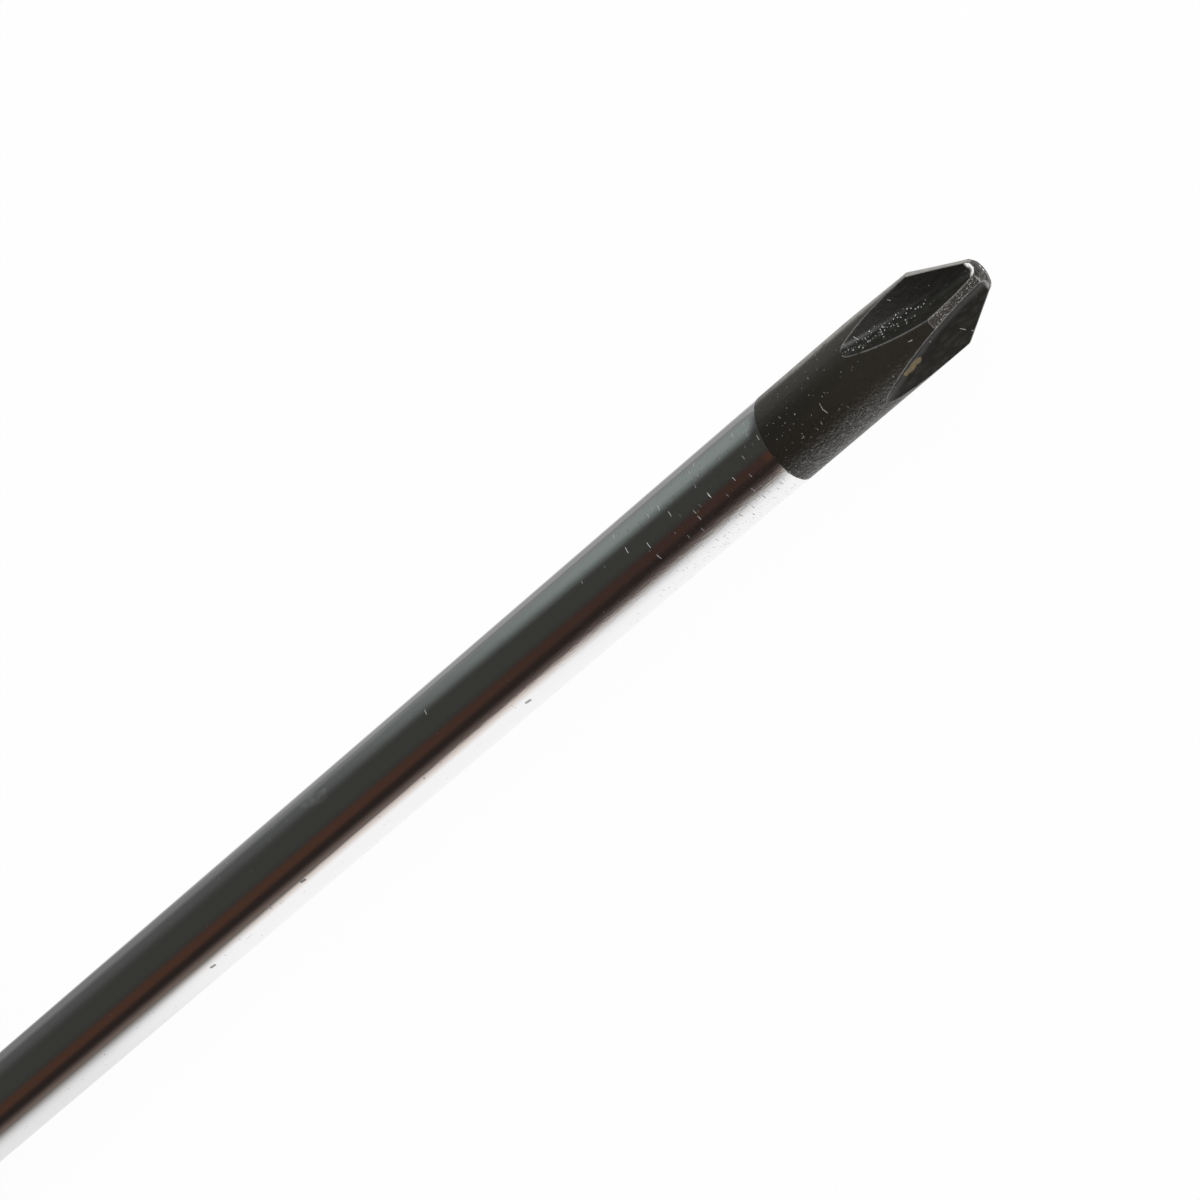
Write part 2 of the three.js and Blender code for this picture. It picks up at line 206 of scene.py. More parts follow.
class Graph:
    """A node tree that is emptied and then written by add."""

    def __init__(self, tree):
        self.tree = tree
        tree.nodes.clear()

    def add(self, kind, settings=None, sockets=None, output=0):
        """Makes a node of a kind, sets it up, then fills its sockets with values or wires."""
        node = self.tree.nodes.new("ShaderNode" + kind)
        for name, value in (settings or {}).items():
            setattr(node, name, value)
        for name, value in (sockets or {}).items():
            if isinstance(value, Wire):
                self.tree.links.new(value.socket, node.inputs[name])
            else:
                node.inputs[name].default_value = value
        return Wire(self, node.outputs[output]) if len(node.outputs) else node

    def fade(self, value, start, end):
        """0 up to start and 1 from end, smooth between. Start may be above end."""
        sockets = {"Value": value, "From Min": start, "From Max": end}
        return self.add("MapRange", {"interpolation_type": "SMOOTHSTEP"}, sockets)

    def mix(self, factor, first, second):
        """A colour from first to second by factor."""
        return self.add("Mix", {"data_type": "RGBA"}, {0: factor, 6: first, 7: second}, 2)

    def noise(self, vector, scale, detail=2.0, roughness=0.5):
        sockets = {"Vector": vector, "Scale": scale, "Detail": detail, "Roughness": roughness}
        return self.add("TexNoise", {}, sockets)

    def attribute(self, name):
        return self.add("Attribute", {"attribute_name": name}, {}, "Fac")

    def vector(self, x, y, z=0.0):
        return self.add("CombineXYZ", {}, {0: x, 1: y, 2: z})

    def bump(self, height, depth):
        """Depth is the height in millimetres that 1 stands for."""
        return self.add("Bump", {}, {"Height": height, "Distance": depth * MM, "Strength": 1.0})

    def place(self):
        """The surface point in the tool's frame, in millimetres: x, y and z from the tool's axis."""
        point = self.add("TexCoord", {}, {}, "Object")
        x, y, z = self.split(point)
        return x / MM, y / MM, z / MM - AXIS_Z

    def split(self, vector):
        """The three parts of a vector or a colour."""
        first = self.add("SeparateXYZ", {}, {0: vector})
        return [first.output(name) for name in "XYZ"]

    def vector_math(self, operation, *values, output=0):
        return self.add("VectorMath", {"operation": operation}, dict(enumerate(values)), output)

    def scatter(self, along, across, pitch, size, share, tilt=0.0):
        """Marks strewn at random: a mask of small dashes. Pitch and size are (along, across)."""
        coords = self.vector(along / pitch[0], across / pitch[1])
        sockets = {"Vector": coords, "Scale": 1.0}
        cell = self.add("TexVoronoi", {"voronoi_dimensions": "2D"}, sockets, "Position")
        chance = self.split(cell.output("Color"))
        u, v, _ = self.split(self.vector_math("SUBTRACT", coords, cell))
        v = v * pitch[1]
        u = u * pitch[0] + v * ((chance[1] - 0.5) * (2 * tilt))
        grown = chance[2] * 0.8 + 0.5
        mark = self.fade(abs(u) / (grown * size[0]), 0.5, 0.25)
        mark = mark * self.fade(abs(v) / (grown * size[1]), 0.5, 0.3)
        return mark * (chance[2] * 0.65 + 0.35) * (chance[0] < share)

    def stroke(self, spot, start, end, width):
        """A mask of one mark from start to end, soft over the outer half of its width."""
        start, end = np.array(start), np.array(end)
        run = end - start
        offset = self.vector_math("SUBTRACT", spot, tuple(start))
        share = self.vector_math("DOT_PRODUCT", offset, tuple(run / (run @ run)), output="Value")
        share = share.most(0.0).least(1.0)
        nearest = self.add("VectorMath", {"operation": "SCALE"}, {0: tuple(run), "Scale": share})
        off = self.vector_math("DISTANCE", offset, nearest, output="Value")
        return self.fade(off, width / 2, width / 4)


def new_material(name):
    material = bpy.data.materials.new(name)
    material.use_nodes = True
    return material, Graph(material.node_tree)


def principled(graph, sockets):
    shader = graph.add("BsdfPrincipled", {}, sockets)
    graph.add("OutputMaterial", {}, {"Surface": shader})


# Finishes


def blade_spot(graph):
    """Back from the blunt end, y, z, the way round the bar, and the first three as a vector."""
    x, y, z = graph.place()
    back = TIP_X - x
    turn = y.math("ARCTAN2", z, y) * SHANK_RADIUS
    return back, y, z, turn, graph.vector(back, y, z)


# Places of single marks on the finishes, as (back from the blunt end, y, z) from the axis
PITS = ((42.3, -2.98, 0.37), (64.0, -2.78, 1.13), (74.2, -2.95, 0.53))
SMUDGE = ((58.8, 0.3, 2.98), (60.4, 0.9, 2.86))

# Tones of the plating
PLATING = (0.925, 0.93, 0.935, 1)
PIT = (0.2, 0.18, 0.16, 1)
PALE_SCRATCH = (0.5, 0.5, 0.5, 1)
# Scratch tone for the lower side: painted shade
SCRATCH_PAINTED_SHADE = (0.08, 0.078, 0.075, 1)


def plated_steel():
    """Bright plating: mirror-like, rubbed round its girth near the point, with pits and a smudge; its
    scratches carry painted shade on the lower side.
    """
    material, g = new_material("plated_steel")
    back, y, _, turn, spot = blade_spot(g)
    rubbed = g.fade(back, 36, 19)
    bright = g.scatter(back, turn, (0.5, 0.72), (0.055, 0.4), 0.006 + rubbed * 0.22, 0.12)
    faint = g.scatter(back + 50, turn, (0.26, 0.36), (0.05, 0.26), 0.03 + rubbed * 0.5, 0.15)
    specks = g.scatter(back, turn + 9, (0.6, 0.6), (0.08, 0.09), 0.03 + rubbed * 0.12)
    scuffs = g.scatter(back + 3, turn, (3.5, 2.6), (0.8, 0.08), 0.12, 1.2)
    scratch = bright.most(faint * 0.45).most(specks * 0.8).most(scuffs * 0.25)
    pits = g.scatter(back + 7, turn, (2.8, 2.4), (0.16, 0.15), 0.1)
    for place in PITS:
        pits = pits.most(g.stroke(spot, place, np.array(place) + (0.3, 0, 0.05), 0.3))
    smudge = g.stroke(spot, *SMUDGE, 1.5) * g.fade(g.noise(spot, 2.5, 3.0), 0.35, 0.65)
    haze = g.fade(g.noise(spot, 0.35, 3.0), 0.45, 0.75)
    tone = g.mix(pits * 0.7, PLATING, PIT)
    # Painted shade: on the lower side (towards -y) scratches take a near-black tone and a stronger mix;
    # elsewhere they are pale grey
    lower = g.fade(y, -2.0, -2.6)
    mark = g.mix(lower, PALE_SCRATCH, SCRATCH_PAINTED_SHADE)
    tone = g.mix(scratch * (0.5 + lower * 0.4), tone, mark)
    rough = 0.04 + haze * 0.03 + scratch * 0.45 + pits * 0.4 + smudge * 0.14
    drawn = g.noise(g.vector(back * 1.1, turn * 5), 1.0, 4.0, 0.65) * g.fade(back, 60, 25)
    wavy = g.noise(g.vector(back * 0.35, turn * 0.9), 1.0, 2.0)
    bump = g.bump(scratch * -1.0 + drawn * (1.0 + lower * 2.2) + wavy * 1.2, 0.004)
    metal = 1 - bright * 0.5
    principled(g, {"Base Color": tone, "Metallic": metal, "Roughness": rough, "Normal": bump})
    return material


NICKS = (
    ((12.75, -1.50, 2.60), (12.85, -1.85, 2.38)),
    ((12.85, -1.85, 2.38), (12.78, -2.12, 2.15)),
    ((5.55, 1.30, 2.34), (5.45, 1.17, 2.20)),
    ((5.35, 1.06, 2.10), (5.25, 0.95, 1.98)),
    ((3.55, -1.64, -0.98), (3.35, -1.83, -1.22)),
    ((3.12, -2.00, -1.46), (3.05, -2.08, -1.58)),
    ((5.62, -2.04, 2.22), (5.38, -2.10, 2.17)),
)
CHIP = ((6.75, -1.90, -0.26), (7.8, -2.22, -0.05))
GLARE = ((0.0, 0.28, -0.02), (0.02, -0.15, -0.32))

# Tones of the blackened end, by pairs of a dark and a light one where patches vary
BLACK_FRONT = ((0.0195, 0.0172, 0.0131, 1), (0.0262, 0.023, 0.0178, 1))
BLACK_REAR = ((0.013, 0.0113, 0.0085, 1), (0.0178, 0.0155, 0.0119, 1))
# Flute walls: a dim tone of painted shade and a pale tone of painted light, each as a patchy pair
WALL_PAINTED_SHADE = ((0.0075, 0.007, 0.0056, 1), (0.014, 0.0135, 0.0115, 1))
WALL_PAINTED_LIGHT = ((0.0175, 0.0168, 0.014, 1), (0.034, 0.033, 0.029, 1))
TURNED_BLACK = ((0.0135, 0.0105, 0.008, 1), (0.5, 0.47, 0.43, 1))
TURNED_BARE = ((0.3, 0.285, 0.265, 1), (0.8, 0.775, 0.74, 1))
BARE_EDGE = ((0.2, 0.195, 0.185, 1), (0.5, 0.49, 0.48, 1))
BLUNT_END = ((0.035, 0.031, 0.027, 1), (0.15, 0.143, 0.135, 1))
CHIP_TAN = ((0.09, 0.066, 0.034, 1), (0.27, 0.205, 0.11, 1))
# Painted sheen for the upper side
PAINTED_SHEEN = (0.07, 0.066, 0.057, 1)
# Painted highlight on the grain
GRAIN_PAINTED_HIGHLIGHT = (0.16, 0.156, 0.148, 1)
# Painted highlight along the upper rim
RIM_PAINTED_HIGHLIGHT = (0.42, 0.405, 0.38, 1)
END_RIM = (0.62, 0.61, 0.59, 1)
GLARE_TONE = (0.97, 0.96, 0.95, 1)
# Pale tone of flecks, dashes and nicks, and of the painted glints
FLECK_AND_PAINTED_GLINT = (0.78, 0.77, 0.75, 1)


def blackened_steel():
    """Phosphate-blackened end: fine grain, bare worn edges and a turned wing cone, with painted light:
    glints, a sheen and a rim highlight on the upper side, highlights on the grain, and paler and dimmer
    flute walls.
    """
    material, g = new_material("blackened_steel")
    back, y, z, turn, spot = blade_spot(g)
    edge = g.attribute("edge")
    land = g.attribute("land")
    sunk = g.attribute("sunk")
    patchy = g.noise(spot, 2.2, 4.0, 0.6)
    grain = g.noise(spot, 4.2, 2.0, 0.55)

    # Where the blunt end, the cone, worn edges and the flutes' mouths are
    end = g.fade(back, WING_END + 0.1, WING_END - 0.02) * land
    cone = g.fade(back, CONE_END + 0.02, CONE_END - 0.04) * land * (1 - end)
    outer = g.fade(y, 0.1, 0.5) * g.fade(z, -0.4, 0.2)
    worn = edge * g.fade(patchy, 0.25, 0.55) * (0.75 + g.fade(back, 5, 1.5) * 0.25)
    brow = g.fade(abs(back - CONE_END), 0.05, 0.02) * land * g.fade(patchy, 0.3, 0.6)
    upper = g.fade(z, 0.3, 0.7)
    mouth = g.fade(back, 0.55, 0.35) * g.fade(sunk, 0.42, 0.2) * (sunk > 0.001) * (0.3 + upper * 0.7)
    mouth = mouth * g.fade(patchy, 0.2, 0.4) * g.fade(grain, 0.3, 0.42)

    # Small marks, and painted glints along the flute roots
    rear = g.fade(back, 6.5, 13.0)
    flecks = g.scatter(back, turn, (0.22, 0.22), (0.055, 0.05), 0.014 + rear * 0.13)
    dashes = g.scatter(back + 5, turn, (0.5, 0.6), (0.042, 0.2), 0.02 + rear * 0.12, 0.4)
    root = g.attribute("root") * g.fade(back, 2.5, 8.6)
    # Painted glints: pale specks along the flute roots, mostly on the upper flute, where light falls
    glints = g.scatter(back + 11, y + z * 0.6, (0.2, 0.17), (0.095, 0.085), root * (0.1 + upper * 0.8))
    bright = (flecks * 0.7).most(dashes * 0.7).most(glints)
    for nick in NICKS:
        bright = bright.most(g.stroke(spot, *nick, 0.06) * 0.75)
    chip = g.stroke(spot, *CHIP, 0.46 + (patchy - 0.5) * 1.2)

    # Tones
    lines = g.noise(g.vector(back * 9, turn * 0.4), 1.0, 3.0, 0.7)
    fleck = g.fade(g.noise(spot, 8.0, 2.0, 0.6), 0.56, 0.72)
    front_tone = g.mix(patchy, *BLACK_FRONT)
    rear_tone = g.mix(patchy, *BLACK_REAR)
    tone = g.mix(g.fade(back, 8.5, 16.5), front_tone, rear_tone)
    lean = (y * 0.83 + z * 0.556) / BLACK_RADIUS
    # Painted sheen: the upper side is made paler, most towards its rim
    tone = g.mix(g.fade(lean, 0.3, 0.85) * 0.4, tone, PAINTED_SHEEN)
    ground = g.fade(g.noise(g.vector(back * 0.9, y * 4, z * 4), 1.0, 3.0, 0.6), 0.4, 0.75)
    # Painted light and shade: flute walls towards -y take the pale copy, walls towards +y the dim one
    painted_wall_shade = g.mix(ground, *WALL_PAINTED_SHADE)
    painted_wall_light = g.mix(ground, *WALL_PAINTED_LIGHT)
    tone = g.mix(land, g.mix(g.fade(y, 0.45, -0.35), painted_wall_shade, painted_wall_light), tone)
    # Painted highlights: pale specks on the peaks of the grain, only on the lower land towards -y
    grain_highlight = g.fade(grain, 0.52, 0.62) * land * g.fade(z, 1.6, 0.2) * g.fade(y, 0.0, -1.5)
    tone = g.mix(grain_highlight * 0.5, tone, GRAIN_PAINTED_HIGHLIGHT)
    turned_marks = g.scatter(back, turn, (0.11, 0.16), (0.05, 0.13), 0.45)
    turned_light = (lines * 0.1).most(fleck * 0.4).most(turned_marks)
    turned_tone = g.mix(turned_light, *TURNED_BLACK)
    turned_tone = g.mix(outer, turned_tone, g.mix(lines, *TURNED_BARE))
    # Painted highlight: a pale band along the upper rim, broken into patches and weaker towards the rear
    rubbed = land * g.fade(lean, 0.88, 0.97) * g.fade(patchy, 0.25, 0.5)
    rubbed = rubbed * (1 - g.fade(back, 13.5, 16.5) * 0.6)
    tone = g.mix(rubbed * 0.7, tone, RIM_PAINTED_HIGHLIGHT)
    tone = g.mix(cone, tone, turned_tone)
    bare = g.mix(patchy, *BARE_EDGE)
    tone = g.mix((worn * 0.8).most(brow * 0.4), tone, bare)
    mottle = g.fade(g.noise(spot, 3.2, 3.0, 0.6), 0.4, 0.62)
    rim = g.fade(abs(back - WING_END), 0.07, 0.02)
    end_tone = g.mix(mottle, *BLUNT_END)
    tone = g.mix(end, tone, g.mix(rim * mottle, end_tone, END_RIM))
    glare = mouth.most(g.stroke(spot, *GLARE, 0.2) * g.fade(grain, 0.4, 0.5))
    tone = g.mix(glare, tone, GLARE_TONE)
    # Flecks, dashes and nicks, and the painted glints
    tone = g.mix(bright * 0.85, tone, FLECK_AND_PAINTED_GLINT)
    tone = g.mix(chip, tone, g.mix(patchy, *CHIP_TAN))

    # Metal, roughness and relief
    metal = (worn * 0.8).most(end * 0.85).most(cone * (0.12 + outer * 0.83)).most(bright * 0.5)
    metal = metal * (1 - glare)
    rough = 0.29 + (1 - land) * 0.08 + worn * 0.05 + end * 0.05 + (patchy - 0.5) * 0.1 + chip * 0.2
    rough = rough + cone * (1 - outer) * 0.3
    rough_side = 0.4 + g.fade(z, 2.2, 0.4) * g.fade(lean, 0.4, 0.0) * 3.0
    height = grain * (0.12 + land * rough_side) + lines * cone * (0.06 + outer * 0.14)
    height = height + bright * 0.15 + chip * 0.3
    bump = g.bump(height, 0.09)
    sockets = {"Base Color": tone, "Metallic": metal, "Roughness": rough, "Normal": bump}
    principled(g, {**sockets, "Specular IOR Level": 0.5})
    return material


# Darkest and lightest tones of the mouldings, and what lies on them
BLACK_PLASTIC = ((0.017, 0.017, 0.0185, 1), (0.026, 0.026, 0.028, 1))
RED_PLASTIC = ((0.37, 0.016, 0.0125, 1), (0.46, 0.023, 0.018, 1))
SOFT_BLACK = ((0.0125, 0.013, 0.014, 1), (0.023, 0.0235, 0.025, 1))
SCUFF = (0.5, 0.5, 0.5, 1)
DUST = (0.16, 0.155, 0.15, 1)


def moulded_plastic(name, dark, light, roughness, grain_depth):
    """A hard moulding: eroded-tool grain, slight mottling, faint handling scuffs."""
    material, g = new_material(name)
    x, y, z = g.place()
    spot = g.vector(x, y, z)
    cloud = g.noise(spot, 0.12, 3.0)
    grain = g.noise(spot, 5.5, 3.0, 0.6)
    turn = y.math("ARCTAN2", z, y) * GRIP_HALF
    scuff = g.scatter(x, turn, (4.0, 3.0), (2.2, 0.12), 0.18, 0.8)
    tone = g.mix(cloud, dark, light)
    tone = g.mix(scuff * 0.12, tone, SCUFF)
    rough = roughness + (cloud - 0.5) * 0.12 + scuff * 0.12
    bump = g.bump(grain, grain_depth)
    principled(g, {"Base Color": tone, "Roughness": rough, "Normal": bump})
    return material


def soft_grip():
    """Soft-touch elastomer: matte, leathery micro-grain, a little pale dust in patches."""
    material, g = new_material("soft_grip")
    x, y, z = g.place()
    spot = g.vector(x, y, z)
    sockets = {"Vector": spot, "Scale": 2.6, "Smoothness": 0.6}
    cells = g.add("TexVoronoi", {"feature": "SMOOTH_F1"}, sockets)
    grain = g.noise(spot, 7.0, 2.0)
    cloud = g.noise(spot, 0.1, 4.0)
    dust = g.fade(g.noise(spot, 1.4, 6.0, 0.75), 0.6, 0.9)
    tone = g.mix(cloud, *SOFT_BLACK)
    tone = g.mix(dust * 0.18, tone, DUST)
    rough = 0.62 + dust * 0.2 + (cloud - 0.5) * 0.15
    bump = g.bump(cells * 1.0 + grain * 0.35, 0.05)
    principled(g, {"Base Color": tone, "Roughness": rough, "Normal": bump, "Specular IOR Level": 0.4})
    return material


# Meshes


def mesh_piece(name, points, faces, material, attributes=None):
    """A smooth-shaded object of points in millimetres."""
    mesh = bpy.data.meshes.new(name)
    mesh.from_pydata((np.asarray(points) * MM).tolist(), [], faces)
    for label, values in (attributes or {}).items():
        layer = mesh.attributes.new(label, "FLOAT", "POINT")
        layer.data.foreach_set("value", np.asarray(values, np.float32))
    clean_up(mesh)
    mesh.materials.append(material)
    mesh.polygons.foreach_set("use_smooth", [True] * len(mesh.polygons))
    return add_object(name, mesh)


def add_object(name, data):
    made = bpy.data.objects.new(name, data)
    bpy.context.scene.collection.objects.link(made)
    return made


def settle(piece, node):
    """Puts a piece on the tool's one body, in place of a node."""
    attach(piece, "root")
    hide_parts(node)


def clean_up(mesh):
    """Joins points that lie on each other and turns every face outwards."""
    work = bmesh.new()
    work.from_mesh(mesh)
    bmesh.ops.remove_doubles(work, verts=work.verts, dist=2e-7)
    bmesh.ops.dissolve_degenerate(work, edges=work.edges, dist=1e-8)
    bmesh.ops.recalc_face_normals(work, faces=work.faces)
    work.to_mesh(mesh)
    work.free()


def strip_faces(rows, count, closed=True):
    """Quads between rows of count points that lie one after another."""
    faces = []
    for row in range(rows - 1):
        start = row * count
        for i in range(count if closed else count - 1):
            j = (i + 1) % count
            faces.append((start + i, start + j, start + count + j, start + count + i))
    return faces


def tube(rings):
    """Points and faces of a skin over closed rings, open at both ends."""
    return np.concatenate(rings), strip_faces(len(rings), len(rings[0]))


def first_end(rings):
    """A face over the first ring."""
    return tuple(range(len(rings[0])))


def last_end(rings):
    """A face over the last ring."""
    count = len(rings[0])
    return tuple(range((len(rings) - 1) * count, len(rings) * count))


def loft(rings):
    """Points and faces of a skin over closed rings, with a face over each end ring."""
    points, faces = tube(rings)
    return points, faces + [first_end(rings), last_end(rings)]


def joined(parts):
    """Points and faces of several skins, each given as its points and faces, as one."""
    points, faces = [], []
    total = 0
    for part_points, part_faces in parts:
        points.append(part_points)
        faces += [tuple(k + total for k in face) for face in part_faces]
        total += len(part_points)
    return np.concatenate(points), faces


def rounded(outline, cuts, steps=5):
    """An open outline of (place, radius) points, each inner corner rounded over its cut length."""
    points = [np.array(p, float) for p in outline]
    made = [points[0]]
    for before, corner, after, cut in zip(points, points[1:], points[2:], cuts):
        to_before = before - corner
        to_after = after - corner
        reach = min(cut, 0.45 * np.linalg.norm(to_before), 0.45 * np.linalg.norm(to_after))
        start = corner + to_before / np.linalg.norm(to_before) * reach
        end = corner + to_after / np.linalg.norm(to_after) * reach
        for t in np.linspace(0, 1, steps + 1):
            made.append((1 - t) ** 2 * start + 2 * t * (1 - t) * corner + t**2 * end)
    made.append(points[-1])
    return np.array(made)


def turned(profile, columns):
    """Rings of a solid turned about the tool's axis, from (behind the nose, radius) points."""
    angles = np.linspace(0, 2 * math.pi, columns, endpoint=False)
    return [handle_ring(place, radius, angles) for place, radius in profile]


def handle_ring(place, radius, angles):
    """Points round the axis at a place behind the nose. Radius is a number or one per angle."""
    x = np.full(len(angles), NOSE_X - place)
    return np.stack([x, radius * np.cos(angles), AXIS_Z + radius * np.sin(angles)], 1)


def ease(start, end, place, first, last):
    t = np.clip((place - first) / (last - first), 0, 1)
    return start + (end - start) * t * t * (3 - 2 * t)


# Blade


def flute_height(across, back):
    """Height over the axis of a flute's surface, at a distance across its middle plane."""
    wall = math.radians(FLUTE_ANGLE / 2)
    shoulder = FLUTE_ROOT * math.cos(wall)
    inside = np.minimum(np.abs(across), shoulder)
    sink = FLUTE_ROOT - np.sqrt(FLUTE_ROOT**2 - inside**2)
    sink = sink + np.maximum(np.abs(across) - shoulder, 0) / math.tan(wall)
    reach = np.maximum((WHEEL_RADIUS - sink) ** 2 - back**2, 0)
    return POINT_CORE_RADIUS + WHEEL_RADIUS - np.sqrt(reach)


def flute_edge(radius, back):
    """Half the width of a flute where it meets the round of that radius, or 0 where it doesn't."""
    if flute_height(np.zeros(1), back)[0] >= radius:
        return 0.0
    low, high = 0.0, radius * math.sin(math.pi / FLUTES)
    for _ in range(40):
        middle = (low + high) / 2
        outside = math.hypot(middle, flute_height(np.array([middle]), back)[0]) > radius
        low, high = (low, middle) if outside else (middle, high)
    return low


FLUTE_STEPS = 40
EDGE_STEPS = 4
LAND_STEPS = 12
EDGE_ROUNDING = 0.045
WEAR_WIDTH = 0.05
WING_WEAR = 0.13
BLACK_SHIFT = 0.2
BLACK_TILT = 0.42
BLACK_LEAN = math.radians(-165)
SLANT_RUN = 6
PAST_FLUTE = 0.3
POINT_CUTS = (0.16, 0.13, 0.07)
POINT_STEP = 0.09
FLUTE_STATIONS = 70
BLACK_STATIONS = 14
SHANK_STATIONS = 90
LEAST_FLUTE_ANGLE = math.radians(2.5)


def blade_section(back, radius):
    """One quarter of a section of the point, as (across, height), with edge, land and root marks."""
    half = flute_edge(radius, back)
    least = radius * math.sin(LEAST_FLUTE_ANGLE)
    fluted = half > 0
    shown = max(half, least)
    corner_angle = math.asin(min(shown / radius, 1))
    quarter = math.pi / FLUTES
    cut = min(EDGE_ROUNDING, 0.3 * shown, 0.3 * radius * (quarter - corner_angle))

    def surface(across):
        round_height = np.sqrt(np.maximum(radius**2 - across**2, 0))
        return np.minimum(flute_height(across, back), round_height) if fluted else round_height

    inner = shown - 0.8 * cut
    spread = np.sin(np.linspace(-math.pi / 2, math.pi / 2, FLUTE_STEPS + 1))
    spread = 0.35 * spread + 0.65 * np.linspace(-1, 1, FLUTE_STEPS + 1)
    across = inner * spread
    flute = np.stack([across, surface(across)], 1)
    corner = np.array([shown, math.sqrt(max(radius**2 - shown**2, 0))])
    outer_angle = corner_angle + cut / radius
    outer = radius * np.array([math.sin(outer_angle), math.cos(outer_angle)])
    t = np.linspace(0, 1, EDGE_STEPS + 2)[1:-1, None]
    edge = (1 - t) ** 2 * flute[-1] + 2 * t * (1 - t) * corner + t**2 * outer
    wear = min(WEAR_WIDTH, 0.6 * radius * (quarter - outer_angle)) / radius
    land_angles = np.linspace(outer_angle + wear, quarter, LAND_STEPS - 1)
    land_angles = np.concatenate([(outer_angle, outer_angle + wear / 2), land_angles])
    land = radius * np.stack([np.sin(land_angles), np.cos(land_angles)], 1)
    side = np.concatenate([edge, land])
    mirrored = (side * [-1, 1])[::-1][1:]
    points = np.concatenate([mirrored, flute, side])
    edge_mark = np.concatenate([np.ones(EDGE_STEPS + 1), (0.5,), np.zeros(LAND_STEPS - 1)]) * fluted
    land_mark = np.concatenate([np.full(EDGE_STEPS, 0.5), np.ones(LAND_STEPS + 1)])
    root_mark = np.clip(1 - np.abs(across) / (0.55 * max(half, 1e-6)), 0, 1) if fluted else across * 0
    depth = radius - np.hypot(flute[:, 0], flute[:, 1])
    side_zeros = np.zeros(len(side))
    flute_zeros = np.zeros(FLUTE_STEPS + 1)
    marks = (
        (edge_mark, flute_zeros),
        (land_mark, flute_zeros if fluted else flute_zeros + 1),
        (side_zeros, root_mark),
        (side_zeros, depth),
    )
    rows = [np.concatenate([of_side[::-1][1:], of_flute, of_side]) for of_side, of_flute in marks]
    return points, np.stack(rows)


def blade_ring(back, radius):
    """A whole ring of the blade with its marks. Flutes face up, down and to both sides."""
    points, marks = blade_section(back, radius)
    rings = []
    for k in range(FLUTES):
        angle = 2 * math.pi * k / FLUTES
        y = points[:, 0] * math.cos(angle) + points[:, 1] * math.sin(angle)
        z = points[:, 1] * math.cos(angle) - points[:, 0] * math.sin(angle)
        rings.append(np.stack([np.full(len(y), TIP_X - back), y, z + AXIS_Z], 1))
    ring = np.concatenate(rings)
    wear_wing(ring, back)
    slant(ring, back)
    return ring, np.concatenate([marks] * FLUTES, 1)


def wear_wing(ring, back):
    """Takes a little off the most used wing, most at its cone, fading out along its land."""
    y = ring[:, 1]
    z = ring[:, 2] - AXIS_Z
    radius = np.hypot(y, z)
    off = np.abs(np.arctan2(z, y) - math.pi / 4)
    share = np.cos(2 * np.minimum(off, math.pi / 4)) ** 2
    loss = WING_WEAR * share * ease(1, 0, back, CONE_END, FLUTE_LENGTH)
    scale = 1 - np.minimum(loss / np.maximum(radius, 0.01), 0.5)
    ring[:, 1] = y * scale
    ring[:, 2] = AXIS_Z + z * scale


def black_shift(angle):
    """How much further back the black finish runs, round the bar: its dipping line is a little askew."""
    ragged = 0.012 * np.sin(9 * angle + 1) + 0.006 * np.sin(23 * angle)
    return BLACK_SHIFT + BLACK_TILT * np.cos(angle - BLACK_LEAN) + ragged


def slant(ring, back):
    """Moves a ring near the end of the black finish along the bar, to follow the finish's edge."""
    angle = np.arctan2(ring[:, 2] - AXIS_Z, ring[:, 1])
    places = (FLUTE_LENGTH + PAST_FLUTE, BLACK_LENGTH, BLACK_LENGTH + SLANT_RUN)
    share = np.interp(back, places, (0, 1, 0))
    ring[:, 0] -= share * black_shift(angle)


def tang_ring(back, radius, wing_half):
    """A ring of the tang: the round bar, or the bar with a pair of wings of that half width."""
    ring, marks = blade_ring(back, radius)
    y = ring[:, 1]
    z = ring[:, 2] - AXIS_Z
    angle = np.arctan2(z, y)
    wide = wing_half / np.maximum(np.abs(np.cos(angle)), 1e-6)
    tall = TANG_WING_THICKNESS / 2 / np.maximum(np.abs(np.sin(angle)), 1e-6)
    reach = np.maximum(radius, np.minimum(wide, tall))
    ring[:, 1] = reach * np.cos(angle)
    ring[:, 2] = AXIS_Z + reach * np.sin(angle)
    return ring, marks


def point_profile():
    """(Back from the blunt end, radius) of the point, from the middle of its flat to the plating."""
    outline = [(0, NEARLY_AXIS), (0, FLAT_RADIUS), (WING_END, POINT_RADIUS), (CONE_END, BLACK_RADIUS)]
    outline.append((CONE_END + 1, BLACK_RADIUS))
    corners = rounded(outline, POINT_CUTS, 7)
    dense = []
    for (x0, r0), (x1, r1) in zip(corners, corners[1:]):
        steps = max(1, int(math.hypot(x1 - x0, r1 - r0) / POINT_STEP))
        dense += [(x0 + (x1 - x0) * i / steps, r0 + (r1 - r0) * i / steps) for i in range(steps)]
    start = dense[-1][0]
    run = FLUTE_LENGTH + 0.08 - start
    for i in range(1, FLUTE_STATIONS + 1):
        dense.append((start + run * (1 - (1 - i / FLUTE_STATIONS) ** 2), BLACK_RADIUS))
    for back in np.linspace(FLUTE_LENGTH + PAST_FLUTE, BLACK_LENGTH - 0.05, BLACK_STATIONS):
        dense.append((back, BLACK_RADIUS))
    dense += [(BLACK_LENGTH - 0.02, BLACK_RADIUS - 0.004), (BLACK_LENGTH, BLACK_RADIUS - 0.014)]
    return dense


